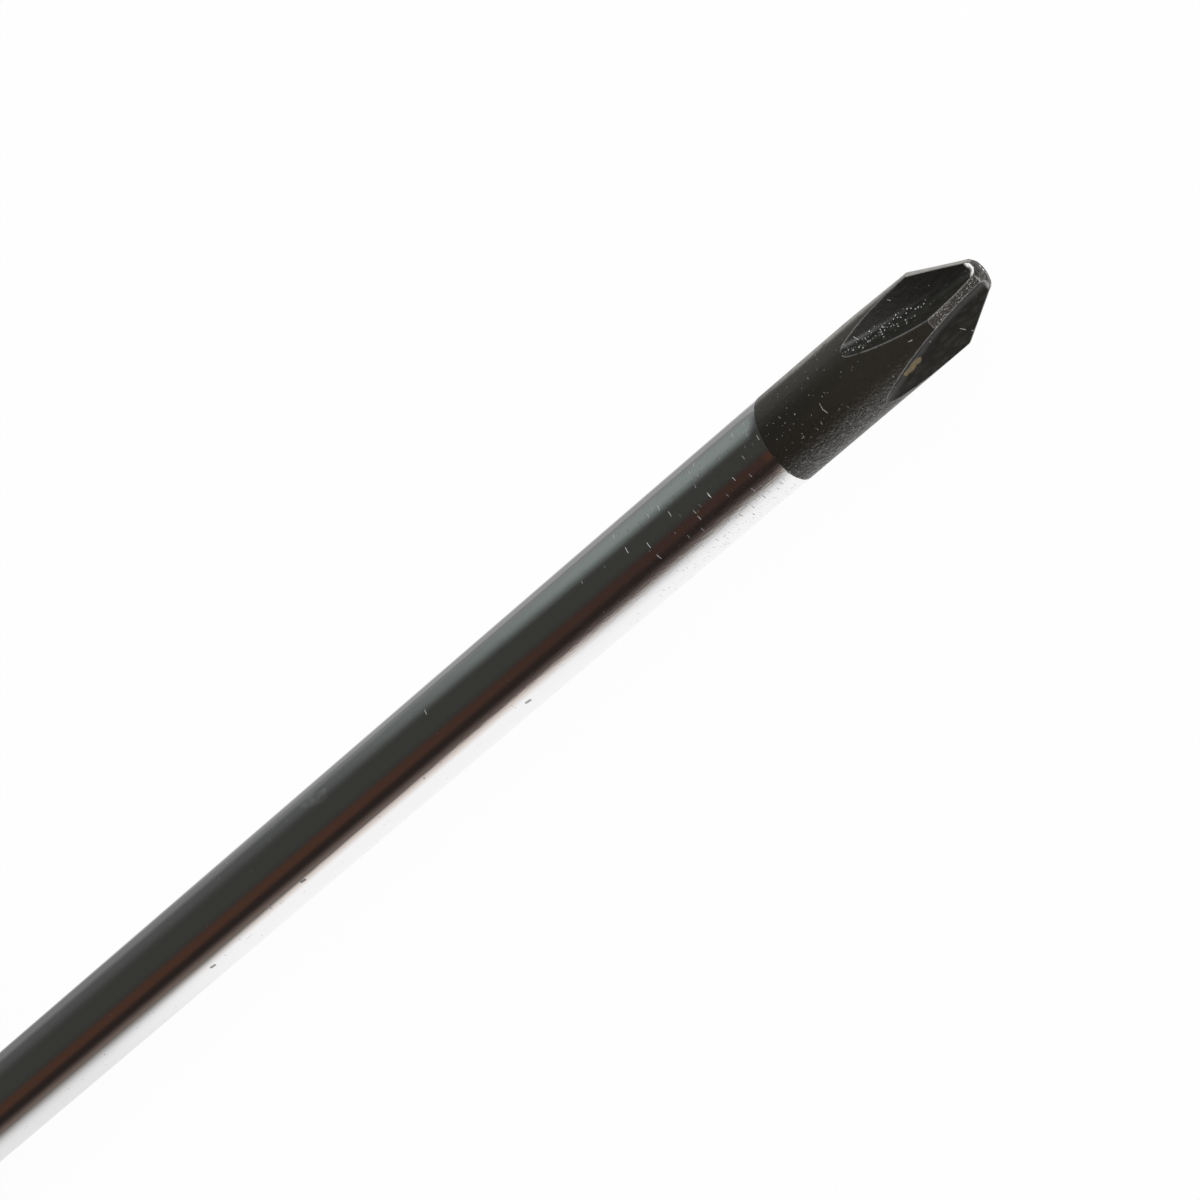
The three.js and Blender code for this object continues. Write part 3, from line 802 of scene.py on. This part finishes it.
def make_blade(black, plated):
    stations = [(*blade_ring(back, radius), black) for back, radius in point_profile()]
    shank_end = TIP_X - NOSE_X
    plated_backs = np.linspace(BLACK_LENGTH + 1, shank_end, SHANK_STATIONS)
    for back in (BLACK_LENGTH + 0.03, *plated_backs):
        stations.append((*blade_ring(back, SHANK_RADIUS), plated))
    wing_slope = TANG_WING_HALF - SHANK_RADIUS / 2
    for rear in sorted(TANG_WING_REARS):
        front = rear - TANG_WING_LENGTH
        for place, half in (
            (front, SHANK_RADIUS / 2),
            (front + wing_slope, TANG_WING_HALF),
            (rear - wing_slope, TANG_WING_HALF),
            (rear, SHANK_RADIUS / 2),
        ):
            stations.append((*tang_ring(shank_end + place, SHANK_RADIUS, half), plated))
    tang_end = shank_end + TANG_LENGTH
    stations.append((*blade_ring(tang_end - TANG_CHAMFER, SHANK_RADIUS), plated))
    stations.append((*blade_ring(tang_end, SHANK_RADIUS - TANG_CHAMFER), plated))
    rings = np.array([s[0] for s in stations])
    marks = dict(zip(("edge", "land", "root", "sunk"), np.concatenate([s[1] for s in stations], 1)))
    points, faces = loft(rings)
    piece = mesh_piece("blade_bar", points, faces, black, marks)
    piece.data.materials.append(plated)
    for face in piece.data.polygons:
        x, y, z = face.center / MM
        edge_back = BLACK_LENGTH + 0.01 + float(black_shift(math.atan2(z - AXIS_Z, y)))
        face.material_index = 1 if TIP_X - x > edge_back else 0
    settle(piece, "blade")


# Handle


def grip_half(place):
    """Half width across flats at places behind the nose, from the guard to the end of the shell."""
    front = ease(GUARD_HALF, NECK_RADIUS, place, GUARD_FLAT_REAR, NECK_FRONT)
    flare = ease(NECK_RADIUS, GRIP_HALF, place, NECK_REAR, WIDEST)
    rear = ease(GRIP_HALF, REAR_HALF, place, WIDEST, SHELL_REAR)
    return np.where(place < NECK_REAR, front, np.where(place < WIDEST, flare, rear))


def grip_corner(place):
    """Corner radius at those places, as a share of the half width."""
    front = ease(GUARD_CORNER, ROUND, place, GUARD_FLAT_REAR, NECK_FRONT)
    rear = ease(ROUND, GRIP_CORNER, place, NECK_REAR, (NECK_REAR + WIDEST) / 2)
    return np.where(place < NECK_REAR, front, rear)


def side_radius(half, share, swing):
    """Radius of a flat-sided round-cornered section, at an angle from the middle of a flat."""
    step = math.pi / SIDES
    corner = half * share
    reach = (half - corner) / math.cos(step)
    flat = np.abs(np.tan(swing)) <= (half - corner) * math.tan(step) / half
    from_corner = step - np.abs(swing)
    arc = reach * np.cos(from_corner) + np.sqrt(
        np.maximum(corner**2 - (reach * np.sin(from_corner)) ** 2, 0)
    )
    return np.where(flat, half / np.cos(swing), arc)


SIDE_COLUMNS = 32


def column_angles():
    """Angles round the handle from the middle of its bottom flat, and each one's swing off its flat."""
    count = SIDES * SIDE_COLUMNS
    turn = 2 * math.pi * np.arange(count) / count
    step = 2 * math.pi / SIDES
    swing = (turn + step / 2) % step - step / 2
    return turn - math.pi / 2, swing


def section_ring(place, half, share):
    angles, swing = column_angles()
    return handle_ring(place, side_radius(half, share, swing), angles)


def grip_ring(place):
    return section_ring(place, float(grip_half(place)), float(grip_corner(place)))


def on_side(side, place, swing, offset=0.0):
    """Points on the grip's skin, on one side, at places and swings off the middle of its flat."""
    place = np.asarray(place, float)
    half = grip_half(place)
    corner = half * grip_corner(place) + offset
    radius = side_radius(half + offset, corner / (half + offset), swing)
    return side_point(side, place, swing, radius)


def side_point(side, place, swing, radius):
    """Points of one side at places behind the nose, swings off the middle of its flat, and radii."""
    angle = swing - math.pi / 2 + 2 * math.pi * side / SIDES
    return np.stack([NOSE_X - place, radius * np.cos(angle), AXIS_Z + radius * np.sin(angle)], -1)


# A rolled edge: its reach, its shoulder, and how far shoulder and end face lie under the skin
EDGE_ROLL = 0.25
EDGE_SHOULDER = 0.07
RECESS_DROPS = (0.02, 0.2)
END_DROPS = (0.03, 0.22)


def rolled_edge(place, way, half, share, drops):
    """Rings of an edge from its shoulder to the end face at a place, which looks back if way is 1."""
    return [
        section_ring(place - way * EDGE_SHOULDER, half - drops[0], share),
        section_ring(place, half - drops[1], share),
    ]


PAD_LONG_STEPS = 200
PAD_FRONT_RADIUS = float(grip_half(PAD_FRONT) * math.tan(math.pi / SIDES) - RIB_WIDTH / 2)
PAD_REAR_RADIUS = float(grip_half(PAD_REAR) * math.tan(math.pi / SIDES) - RIB_WIDTH / 2)


def pad_loop(growth):
    """A pad's outline as (place, across), grown by a distance. It starts at its front arc."""
    front = PAD_FRONT + PAD_FRONT_RADIUS
    rear = PAD_REAR - PAD_REAR_RADIUS
    front_radius = PAD_FRONT_RADIUS + growth
    rear_radius = PAD_REAR_RADIUS + growth
    turn = np.linspace(-math.pi / 2, math.pi / 2, SIDE_COLUMNS + 1)[:-1]
    along = np.linspace(0, 1, PAD_LONG_STEPS + 1)[:-1]
    front_arc = np.stack([front - front_radius * np.cos(turn), front_radius * np.sin(turn)], 1)
    widening = rear_radius - front_radius
    side = np.stack([front + (rear - front) * along, front_radius + widening * along], 1)
    rear_arc = np.stack([rear + rear_radius * np.cos(turn), -rear_radius * np.sin(turn)], 1)
    back = np.stack([side[0, 0] + rear - side[:, 0], -(front_radius + rear_radius - side[:, 1])], 1)
    return np.concatenate([front_arc, side, rear_arc, back])


def frame_loop(front, rear):
    """The border of one side of the grip as (place, swing), point for point with a pad's outline."""
    step = math.pi / SIDES
    turn = np.linspace(-step, step, SIDE_COLUMNS + 1)[:-1]
    along = np.linspace(front, rear, PAD_LONG_STEPS + 1)
    parts = [
        np.stack([np.full(SIDE_COLUMNS, front), turn], 1),
        np.stack([along[:-1], np.full(PAD_LONG_STEPS, step)], 1),
        np.stack([np.full(SIDE_COLUMNS, rear), -turn], 1),
        np.stack([along[:0:-1], np.full(PAD_LONG_STEPS, -step)], 1),
    ]
    return np.concatenate(parts)


def loop_swing(loop):
    """A pad loop's (place, across) as (place, swing)."""
    return np.stack([loop[:, 0], np.arctan2(loop[:, 1], grip_half(loop[:, 0]))], 1)


def zip_faces(first):
    """Faces that close a pad loop across its width. First is the index of the loop's first point."""
    arc, run = SIDE_COLUMNS, PAD_LONG_STEPS
    total = 2 * (arc + run)
    faces = []
    for i in range(arc // 2):
        quad = [i, i + 1, arc - i - 1, arc - i]
        faces.append(list(dict.fromkeys(quad)))
        quad = [arc + run + k for k in quad]
        faces.append(list(dict.fromkeys(quad)))
    for j in range(run):
        faces.append([arc + j, arc + j + 1, (total - j - 1) % total, (total - j) % total])
    return [[first + k % total for k in face] for face in faces]


def pad_rows(side, steps):
    """Rows of points from (growth, offset) steps: loops round a pad, off the skin by the offset."""
    rows = []
    for growth, offset in steps:
        loop = loop_swing(pad_loop(growth))
        rows.append(on_side(side, loop[:, 0], loop[:, 1], offset))
    return rows


POCKET_LIP = 0.22
POCKET_STEP = 1.2

# Ends of the stretch of shell that holds the pockets
SHELL_BAND = (RING_REAR + GAP + 1.2, SHELL_REAR - 1.0)


def shell_side(side):
    """One side of the shell: skin, rolled lip, wall and floor of its pocket."""
    border = frame_loop(*SHELL_BAND)
    lip_loop = loop_swing(pad_loop(GAP + POCKET_LIP))
    rows = []
    for t in np.linspace(0, 1, 15):
        loop = border + (lip_loop - border) * t**0.8
        rows.append(on_side(side, loop[:, 0], loop[:, 1]))
    lip = [
        (GAP + POCKET_LIP * (1 - math.sin(a)), -POCKET_LIP * (1 - math.cos(a)))
        for a in np.linspace(0.3, math.pi / 2, 5)
    ]
    rows += pad_rows(side, lip)
    floor = -PAD_DEPTH - GAP
    insets = (GAP, -POCKET_STEP, -2 * POCKET_STEP)
    rows += pad_rows(side, [(GAP, -POCKET_STEP)] + [(inset, floor) for inset in insets])
    count = len(border)
    faces = strip_faces(len(rows), count) + zip_faces((len(rows) - 1) * count)
    return np.concatenate(rows), faces


GUARD_CUTS = (0.5, 1.3)


def make_shell(material):
    front = rounded(
        [
            (GUARD_FRONT, STEM_RADIUS + GAP),
            (GUARD_FRONT, GUARD_FRONT_RADIUS),
            (GUARD_FLAT_FRONT, GUARD_HALF),
            (GUARD_FLAT_REAR, GUARD_HALF),
        ],
        GUARD_CUTS,
        7,
    )
    rings = []
    for place, half in front:
        grown = np.clip((place - GUARD_FRONT) / (GUARD_FLAT_FRONT - GUARD_FRONT), 0, 1)
        rings.append(section_ring(place, half, ROUND + (GUARD_CORNER - ROUND) * grown))
    recess_front = RING_FRONT - GAP
    places = np.linspace(GUARD_FLAT_REAR, recess_front - EDGE_ROLL, 16)[1:]
    rings += [grip_ring(place) for place in places]
    edge_half = float(grip_half(recess_front))
    edge_corner = float(grip_corner(recess_front))
    rings += rolled_edge(recess_front, 1, edge_half, edge_corner, RECESS_DROPS)
    recess_rear = RING_REAR + GAP
    for place, radius in ((recess_front, SHELL_NECK_RADIUS), (recess_rear, SHELL_NECK_RADIUS)):
        rings.append(section_ring(place, radius, ROUND))
    edge_half = float(grip_half(recess_rear))
    rings += rolled_edge(recess_rear, -1, edge_half, NEARLY_ROUND, RECESS_DROPS)[::-1]
    rings += [grip_ring(place) for place in np.linspace(recess_rear + EDGE_ROLL, SHELL_BAND[0], 5)]
    rear = [grip_ring(place) for place in np.linspace(SHELL_BAND[1], SHELL_REAR - EDGE_ROLL, 4)]
    rear += rolled_edge(SHELL_REAR, 1, REAR_HALF, GRIP_CORNER, END_DROPS)
    bore = [(place, radius + GAP) for place, radius in core_bore()]
    rear += [section_ring(place, radius, ROUND) for place, radius in bore]
    rear.append(rings[0])
    parts = [tube(rings), tube(rear)] + [shell_side(side) for side in range(SIDES)]
    piece = mesh_piece("grip_shell", *joined(parts), material)
    settle(piece, "handle_shell")


def core_bore():
    """(Place, radius) of the core's outside from the end of the shell to the guard."""
    return [
        (SHELL_REAR, SPIGOT_RADIUS),
        (SWELL_REAR, SPIGOT_RADIUS),
        (SWELL_REAR - SWELL_SLOPE, SWELL_RADIUS),
        (SWELL_FRONT + SWELL_SLOPE, SWELL_RADIUS),
        (SWELL_FRONT, STEM_RADIUS),
    ]


CORE_COLUMNS = 144


def make_core(material):
    outside = [
        (TANG_LENGTH + GAP, NEARLY_AXIS),
        (TANG_LENGTH + GAP, SHANK_RADIUS + SHANK_CLEARANCE),
        (0.0, SHANK_RADIUS + SHANK_CLEARANCE),
        (0.0, NOSE_FRONT_RADIUS - NOSE_CHAMFER),
        (NOSE_CHAMFER, NOSE_FRONT_RADIUS),
        (NOSE_LENGTH - NOSE_CHAMFER, NOSE_REAR_RADIUS),
        (NOSE_LENGTH, NOSE_REAR_RADIUS),
        (NOSE_LENGTH, STEM_RADIUS),
        *core_bore()[::-1],
        (BEAD_MIDDLE - BEAD_LENGTH, SPIGOT_RADIUS),
        (BEAD_MIDDLE, SPIGOT_RADIUS + BEAD_HEIGHT),
        (BEAD_MIDDLE + BEAD_LENGTH, SPIGOT_RADIUS),
        (SPIGOT_REAR, SPIGOT_RADIUS),
        (SPIGOT_REAR, NEARLY_AXIS),
    ]
    nose_cuts = (0.1, 0.25, 0.4, 0.6, 0.7, 0.3, 0.2)
    cuts = nose_cuts + (0.2,) * 9
    piece = mesh_piece("handle_nose", *loft(turned(rounded(outside, cuts), CORE_COLUMNS)), material)
    settle(piece, "handle_core")


RING_COLUMNS = 20
RING_STATIONS = 61
RING_LIP = 0.35


def make_ring(material):
    columns = RING_FLUTES * RING_COLUMNS
    angles = np.linspace(0, 2 * math.pi, columns, endpoint=False)
    wave = (1 - np.cos(angles * RING_FLUTES)) / 2
    rings = []
    for t in np.linspace(0, 1, RING_STATIONS):
        place = RING_FRONT + (RING_REAR - RING_FRONT) * t
        end = min(place - RING_FRONT, RING_REAR - place)
        lip = RING_LIP * (1 - math.sqrt(max(0, 1 - (1 - min(end / RING_LIP, 1)) ** 2)))
        along = math.sin(math.pi * t) ** 0.6 if 0 < t < 1 else 0.0
        radius = float(grip_half(place)) - lip - RING_FLUTE_DEPTH * along * wave**1.4
        rings.append(handle_ring(place, radius, angles))
    rings.append(handle_ring(RING_REAR, RING_BORE, angles))
    rings.append(handle_ring(RING_FRONT, RING_BORE, angles))
    rings.append(rings[0])
    piece = mesh_piece("finger_ring", *tube(rings), material)
    settle(piece, "turning_ring")


PAD_GROWTH = 0.18
PAD_EDGE = 0.5
PAD_WALL = 0.8
PAD_SEAM = 0.25
PAD_LOOPS = 26
GROOVES = 9
GROOVE_PITCH = 3.6
GROOVE_WIDTH = 1.3
GROOVE_DEPTH = 0.42
GROOVE_MARGIN = 1.1
GROOVE_FADE = 0.7
GROOVE_FRONT_MARGIN = 9


def groove_sink(loop):
    """Depth of the finger grooves across a pad, at (place, across) points."""
    sink = np.zeros(len(loop))
    widest = PAD_FRONT_RADIUS + (PAD_REAR_RADIUS - PAD_FRONT_RADIUS) * np.clip(
        (loop[:, 0] - PAD_FRONT) / (PAD_REAR - PAD_FRONT), 0, 1
    )
    inside = np.clip((widest - GROOVE_MARGIN - np.abs(loop[:, 1])) / GROOVE_FADE, 0, 1)
    for k in range(GROOVES):
        middle = PAD_FRONT + GROOVE_FRONT_MARGIN + k * GROOVE_PITCH
        off = np.clip(np.abs(loop[:, 0] - middle) / (GROOVE_WIDTH / 2), 0, 1)
        sink += GROOVE_DEPTH * (1 - off**2) ** 1.5
    return sink * inside * inside * (3 - 2 * inside)


def make_pad(side, material):
    edge = [
        (PAD_GROWTH - PAD_EDGE * (1 - math.cos(a)), PAD_PROUD - PAD_EDGE * (1 - math.sin(a)))
        for a in np.linspace(0, math.pi / 2, 7)
    ]
    rows = pad_rows(side, [(PAD_GROWTH, -PAD_DEPTH), (PAD_GROWTH, -PAD_WALL)] + edge)
    least = -min(PAD_FRONT_RADIUS, PAD_REAR_RADIUS) + PAD_SEAM
    for growth in np.linspace(edge[-1][0], least, PAD_LOOPS)[1:]:
        plain = pad_loop(growth)
        loop = loop_swing(plain)
        rows.append(on_side(side, loop[:, 0], loop[:, 1], PAD_PROUD - groove_sink(plain)))
    count = len(rows[0])
    faces = strip_faces(len(rows), count)
    faces += zip_faces((len(rows) - 1) * count)
    faces += zip_faces(0)
    piece = mesh_piece(f"soft_pad_{side + 1}", np.concatenate(rows), faces, material)
    settle(piece, f"grip_pad_{side + 1}")


def cap_section(place):
    """Half width and corner share of the cap at places behind the nose."""
    front = CAP_FRONT + CAP_STRAIGHT
    rise = np.clip((place - front) / (HANDLE_REAR - front), 0, 1)
    cosine = np.sqrt(1 - rise**2)
    half = CAP_END_RADIUS + (REAR_HALF - CAP_END_RADIUS) * cosine
    return half, ROUND + (GRIP_CORNER - ROUND) * cosine


def cap_height(place, across):
    """Height of the cap's skin over the axis, over its top flat."""
    half, share = cap_section(place)
    corner = half * share
    edge = (half - corner) * math.tan(math.pi / SIDES)
    over = np.maximum(np.abs(across) - edge, 0)
    return half - corner + np.sqrt(np.maximum(corner**2 - over**2, 0))


CAP_HOLE_LIP = 0.45
CAP_RUN = 40

# Ends of the stretch of cap that holds the hanging hole
CAP_BAND = (CAP_FRONT + 3.5, HANDLE_REAR - 1.0)


def cap_ring(place):
    half, share = cap_section(place)
    return section_ring(place, float(half), float(share))


def cap_point(side, place, swing):
    half, share = cap_section(place)
    return side_point(side, place, swing, side_radius(half, share, swing))


def hole_loop(radius):
    """Points of a circle round the hanging hole as (place, across), matched to the side's border."""
    quarter = math.pi / 4
    turns = []
    for k, count in enumerate((SIDE_COLUMNS, CAP_RUN, SIDE_COLUMNS, CAP_RUN)):
        turns.append(np.linspace((2 * k - 1) * quarter, (2 * k + 1) * quarter, count + 1)[:-1])
    turn = np.concatenate(turns)
    return np.stack([HOLE_MIDDLE - radius * np.cos(turn), radius * np.sin(turn)], 1)


def cap_side(side, pierced):
    """One side of the cap's skin: a plain patch, or one that rolls into the hanging hole."""
    step = math.pi / SIDES
    places = cap_places()
    swings = np.linspace(-step, step, SIDE_COLUMNS + 1)
    if not pierced:
        rows = [cap_point(side, np.full(len(swings), place), swings) for place in places]
        return np.concatenate(rows), strip_faces(len(rows), len(swings), closed=False)
    border = np.concatenate(
        [
            np.stack([np.full(SIDE_COLUMNS, places[0]), swings[:-1]], 1),
            np.stack([places[:-1], np.full(CAP_RUN, step)], 1),
            np.stack([np.full(SIDE_COLUMNS, places[-1]), swings[:0:-1]], 1),
            np.stack([places[:0:-1], np.full(CAP_RUN, -step)], 1),
        ]
    )
    outer = hole_loop(HOLE_RADIUS + CAP_HOLE_LIP)
    outer_swing = np.arctan2(outer[:, 1], cap_height(outer[:, 0], outer[:, 1]))
    inner = np.stack([outer[:, 0], outer_swing], 1)
    rows = []
    for t in np.linspace(0, 1, 17):
        loop = border + (inner - border) * t
        rows.append(cap_point(side, loop[:, 0], loop[:, 1]))
    up = 1 if side == SIDES // 2 else -1
    for a in np.linspace(0, math.pi / 2, 6)[1:]:
        loop = hole_loop(HOLE_RADIUS + CAP_HOLE_LIP * (1 - math.sin(a)))
        height = cap_height(loop[:, 0], loop[:, 1]) - CAP_HOLE_LIP * (1 - math.cos(a))
        rows.append(np.stack([NOSE_X - loop[:, 0], -up * loop[:, 1], AXIS_Z + up * height], 1))
    loop = hole_loop(HOLE_RADIUS)
    rows.append(np.stack([NOSE_X - loop[:, 0], -up * loop[:, 1], np.full(len(loop), AXIS_Z)], 1))
    return np.concatenate(rows), strip_faces(len(rows), len(border))


def cap_places():
    front, rear = CAP_BAND
    return front + (rear - front) * np.linspace(0, 1, CAP_RUN + 1)


def make_cap(material):
    parts = [cap_side(side, side in (0, SIDES // 2)) for side in range(SIDES)]
    bore = [
        (SPIGOT_REAR + GAP, NEARLY_AXIS),
        (SPIGOT_REAR + GAP, SPIGOT_RADIUS + GAP),
        (BEAD_MIDDLE + BEAD_LENGTH, SPIGOT_RADIUS + GAP),
        (BEAD_MIDDLE, SPIGOT_RADIUS + GAP + BEAD_HEIGHT),
        (BEAD_MIDDLE - BEAD_LENGTH, SPIGOT_RADIUS + GAP),
        (CAP_FRONT, SPIGOT_RADIUS + GAP),
    ]
    front = [section_ring(place, radius, ROUND) for place, radius in bore]
    front += rolled_edge(CAP_FRONT, -1, REAR_HALF, GRIP_CORNER, END_DROPS)[::-1]
    front += [cap_ring(place) for place in np.linspace(CAP_FRONT + EDGE_ROLL, CAP_BAND[0], 6)]
    dome = CAP_FRONT + CAP_STRAIGHT
    dome_length = HANDLE_REAR - dome
    start = math.asin((CAP_BAND[1] - dome) / dome_length)
    angles = np.linspace(start, math.pi / 2, 14)
    rear = [cap_ring(dome + dome_length * math.sin(angle)) for angle in angles]
    for radius in np.linspace(CAP_END_RADIUS, NEARLY_AXIS, 8)[1:]:
        rear.append(section_ring(HANDLE_REAR, radius, ROUND))
    for rings, end in ((front, first_end(front)), (rear, last_end(rear))):
        points, faces = tube(rings)
        parts.append((points, faces + [end]))
    piece = mesh_piece("domed_cap", *joined(parts), material)
    settle(piece, "end_cap")


# Stage


# Camera: its place is from the end of the wings, and its turn is in degrees
CAMERA_LENS = 128.14
CAMERA_SENSOR = 36
CAMERA_FROM_WINGS = (87.501, -139.485, 207.944)
CAMERA_TURN = (14.070, 39.623, -27.351)
CAMERA_CLIP = 5


def make_camera():
    camera = add_object("camera", bpy.data.cameras.new("camera"))
    camera.data.lens = CAMERA_LENS
    camera.data.sensor_width = CAMERA_SENSOR
    camera.data.clip_start = CAMERA_CLIP * MM
    wings = np.array([TIP_X - WING_END, 0, AXIS_Z])
    camera.location = (wings + np.array(CAMERA_FROM_WINGS)) * MM
    camera.rotation_euler = [math.radians(angle) for angle in CAMERA_TURN]
    bpy.context.scene.camera = camera


# Floor, and its colour to the camera and to other rays
FLOOR_HALF = 2000
FLOOR_REACH = 40.0
FLOOR_SLANT = 0.47
WHITE = (1, 1, 1, 1)
PAPER = (0.86, 0.86, 0.86, 1)

# Floor in reflections: the pool of light, and what lies past it in front, to the left and behind
POOL_LIGHT = (0.98, 0.97, 0.97, 1)
POOL_FRONT = (0.12, 0.1, 0.08, 1)
POOL_LEFT = (0.17, 0.12, 0.1, 1)
POOL_BEHIND = (0.28, 0.28, 0.28, 1)
POOL_WARM_RIM = (0.78, 0.62, 0.52, 1)
POOL_SIDE = (0.85, 0.85, 0.84, 1)
UNLIT = (0, 0, 0, 1)

# Room in reflections, and the fill light that it gives
ROOM_FILL = (0.5, 0.5, 0.5, 1)
ROOM_DARK = (0.022, 0.016, 0.014, 1)
ROOM_CEILING = (0.04, 0.04, 0.036, 1)
ROOM_BACK = (0.2, 0.2, 0.2, 1)
WALL_NEAR = (0.22, 0.25, 0.24, 1)
WALL_FAR = (0.08, 0.08, 0.08, 1)
WOOD_NEAR = (0.044, 0.024, 0.019, 1)
WOOD_FAR = (0.062, 0.03, 0.02, 1)
GLOW_NEAR = (0.13, 0.1, 0.09, 1)
GLOW_FAR = (0.19, 0.14, 0.12, 1)


def make_floor():
    """A white sweep. The camera sees it lit; bright metal sees it fall off away from the tool."""
    material, g = new_material("white_sweep")
    camera = g.add("LightPath", {}, {}, "Is Camera Ray")
    glossy = camera.output("Is Glossy Ray")
    x, y, _ = g.split(g.add("TexCoord", {}, {}, "Object"))
    x = x / MM
    y = y / MM
    # Reach goes from far in front of the tool, 0, to far behind it, 1
    reach = y.math("ARCTAN2", y, FLOOR_REACH) / math.pi + 0.5
    near = g.mix(g.fade(reach, 0.0, 0.4), POOL_FRONT, POOL_LIGHT)
    far = g.mix(g.fade(reach, -0.02, 0.31), POOL_LEFT, POOL_LIGHT)
    rim = g.fade(reach, 0.02, 0.13) * g.fade(reach, 0.3, 0.17)
    far = g.mix(rim * 0.4, far, POOL_WARM_RIM)
    # The place along the tool that mirrors this point to the front
    seen_from = x + abs(y) * FLOOR_SLANT
    pool = g.mix(g.fade(seen_from, 94, 74) * g.fade(seen_from, 28, 50), near, far)
    pool = g.mix(g.fade(reach, 0.52, 0.76), pool, POOL_BEHIND)
    dim = g.fade(seen_from, 48, 22) * 0.16 + g.fade(seen_from, 70, 34) * g.fade(y, 20, 50) * 0.3
    pool = g.mix(dim, pool, UNLIT)
    side = g.fade(y, 4, 14) * g.fade(x, 85, 120)
    pool = g.mix(side * 0.55, pool, POOL_SIDE)
    shade = g.mix(camera, pool, WHITE)
    paper = g.add("BsdfDiffuse", {}, {"Color": PAPER})
    glow = g.add("Emission", {}, {"Color": shade, "Strength": 1.0})
    lit = g.add("MixShader", {}, {0: 0.95, 1: paper, 2: glow})
    shown = g.add("MixShader", {}, {0: camera.most(glossy), 1: paper, 2: lit})
    g.add("OutputMaterial", {}, {"Surface": shown})
    half = FLOOR_HALF * MM
    corners = [(-half, -half, 0), (half, -half, 0), (half, half, 0), (-half, half, 0)]
    mesh = bpy.data.meshes.new("floor")
    mesh.from_pydata(corners, [], [(0, 1, 2, 3)])
    mesh.materials.append(material)
    floor = add_object("floor", mesh)


def make_world():
    """White to the camera, soft grey as fill light, and a dim room in reflections."""
    world = bpy.data.worlds.new("studio")
    bpy.context.scene.world = world
    world.use_nodes = True
    g = Graph(world.node_tree)
    camera = g.add("LightPath", {}, {}, "Is Camera Ray")
    glossy = camera.output("Is Glossy Ray")
    x, y, z = g.split(g.add("TexCoord", {}, {}, "Generated"))
    # Swing goes from the horizon in front, 0, overhead to the horizon behind, 1
    swing = y.math("ARCTAN2", z, 0 - y) / math.pi
    nearby = g.fade(x, -0.53, -0.415)
    drift = g.fade(x, -0.41, -0.48) * g.fade(swing, 0.45, 0.7) * 0.05
    room = g.mix(g.fade(swing, 0.17, 0.45), ROOM_DARK, ROOM_CEILING)
    wood = g.mix(nearby, WOOD_FAR, WOOD_NEAR)
    room = g.mix(g.fade(abs(swing - 0.27), 0.11, 0.02), room, wood)
    glow = g.mix(nearby, GLOW_FAR, GLOW_NEAR)
    room = g.mix(g.fade(swing, 0.125, -0.035), room, glow)
    wall = g.mix(nearby, WALL_FAR, WALL_NEAR)
    room = g.mix(g.fade(swing - drift, 0.58, 0.8), room, wall)
    room = g.mix(g.fade(swing, 0.86, 1.02), room, ROOM_BACK)
    fill = g.mix(glossy, ROOM_FILL, room)
    shown = g.mix(camera, fill, WHITE)
    background = g.add("Background", {}, {"Color": shown, "Strength": 1.0})
    g.add("OutputWorld", {}, {"Surface": background})


# Lamps: name, place, aim, width of the disc, watts, and whether metal mirrors it
LAMPS = (
    ("key", (550, -350, 750), (0, 0, 0), 500, 3.8, True),
    ("fill", (-700, -600, 600), (-50, 0, 0), 800, 1.6, False),
    ("back", (250, 800, 550), (50, 0, 0), 800, 2.6, False),
)


def make_lamp(name, place, aim, size, watts, in_reflections):
    lamp = add_object(name, bpy.data.lights.new(name, "AREA"))
    lamp.data.shape = "DISK"
    lamp.data.size = size * MM
    lamp.data.energy = watts
    lamp.location = np.array(place) * MM
    away = np.array(place) - np.array(aim)
    lamp.rotation_euler = (
        math.atan2(math.hypot(away[0], away[1]), away[2]),
        0,
        math.atan2(away[0], -away[1]),
    )
    lamp.visible_glossy = in_reflections


def main():
    make_camera()
    black = blackened_steel()
    plated = plated_steel()
    hard_black = moulded_plastic("hard_black", *BLACK_PLASTIC, 0.42, 0.03)
    red = moulded_plastic("red_shell", *RED_PLASTIC, 0.33, 0.022)
    soft = soft_grip()
    make_blade(black, plated)
    make_core(hard_black)
    make_shell(red)
    make_ring(soft)
    for side in range(SIDES):
        make_pad(side, soft)
    make_cap(hard_black)
    make_floor()
    make_world()
    for lamp in LAMPS:
        make_lamp(*lamp)
    bpy.context.scene.view_settings.view_transform = "Standard"


main()
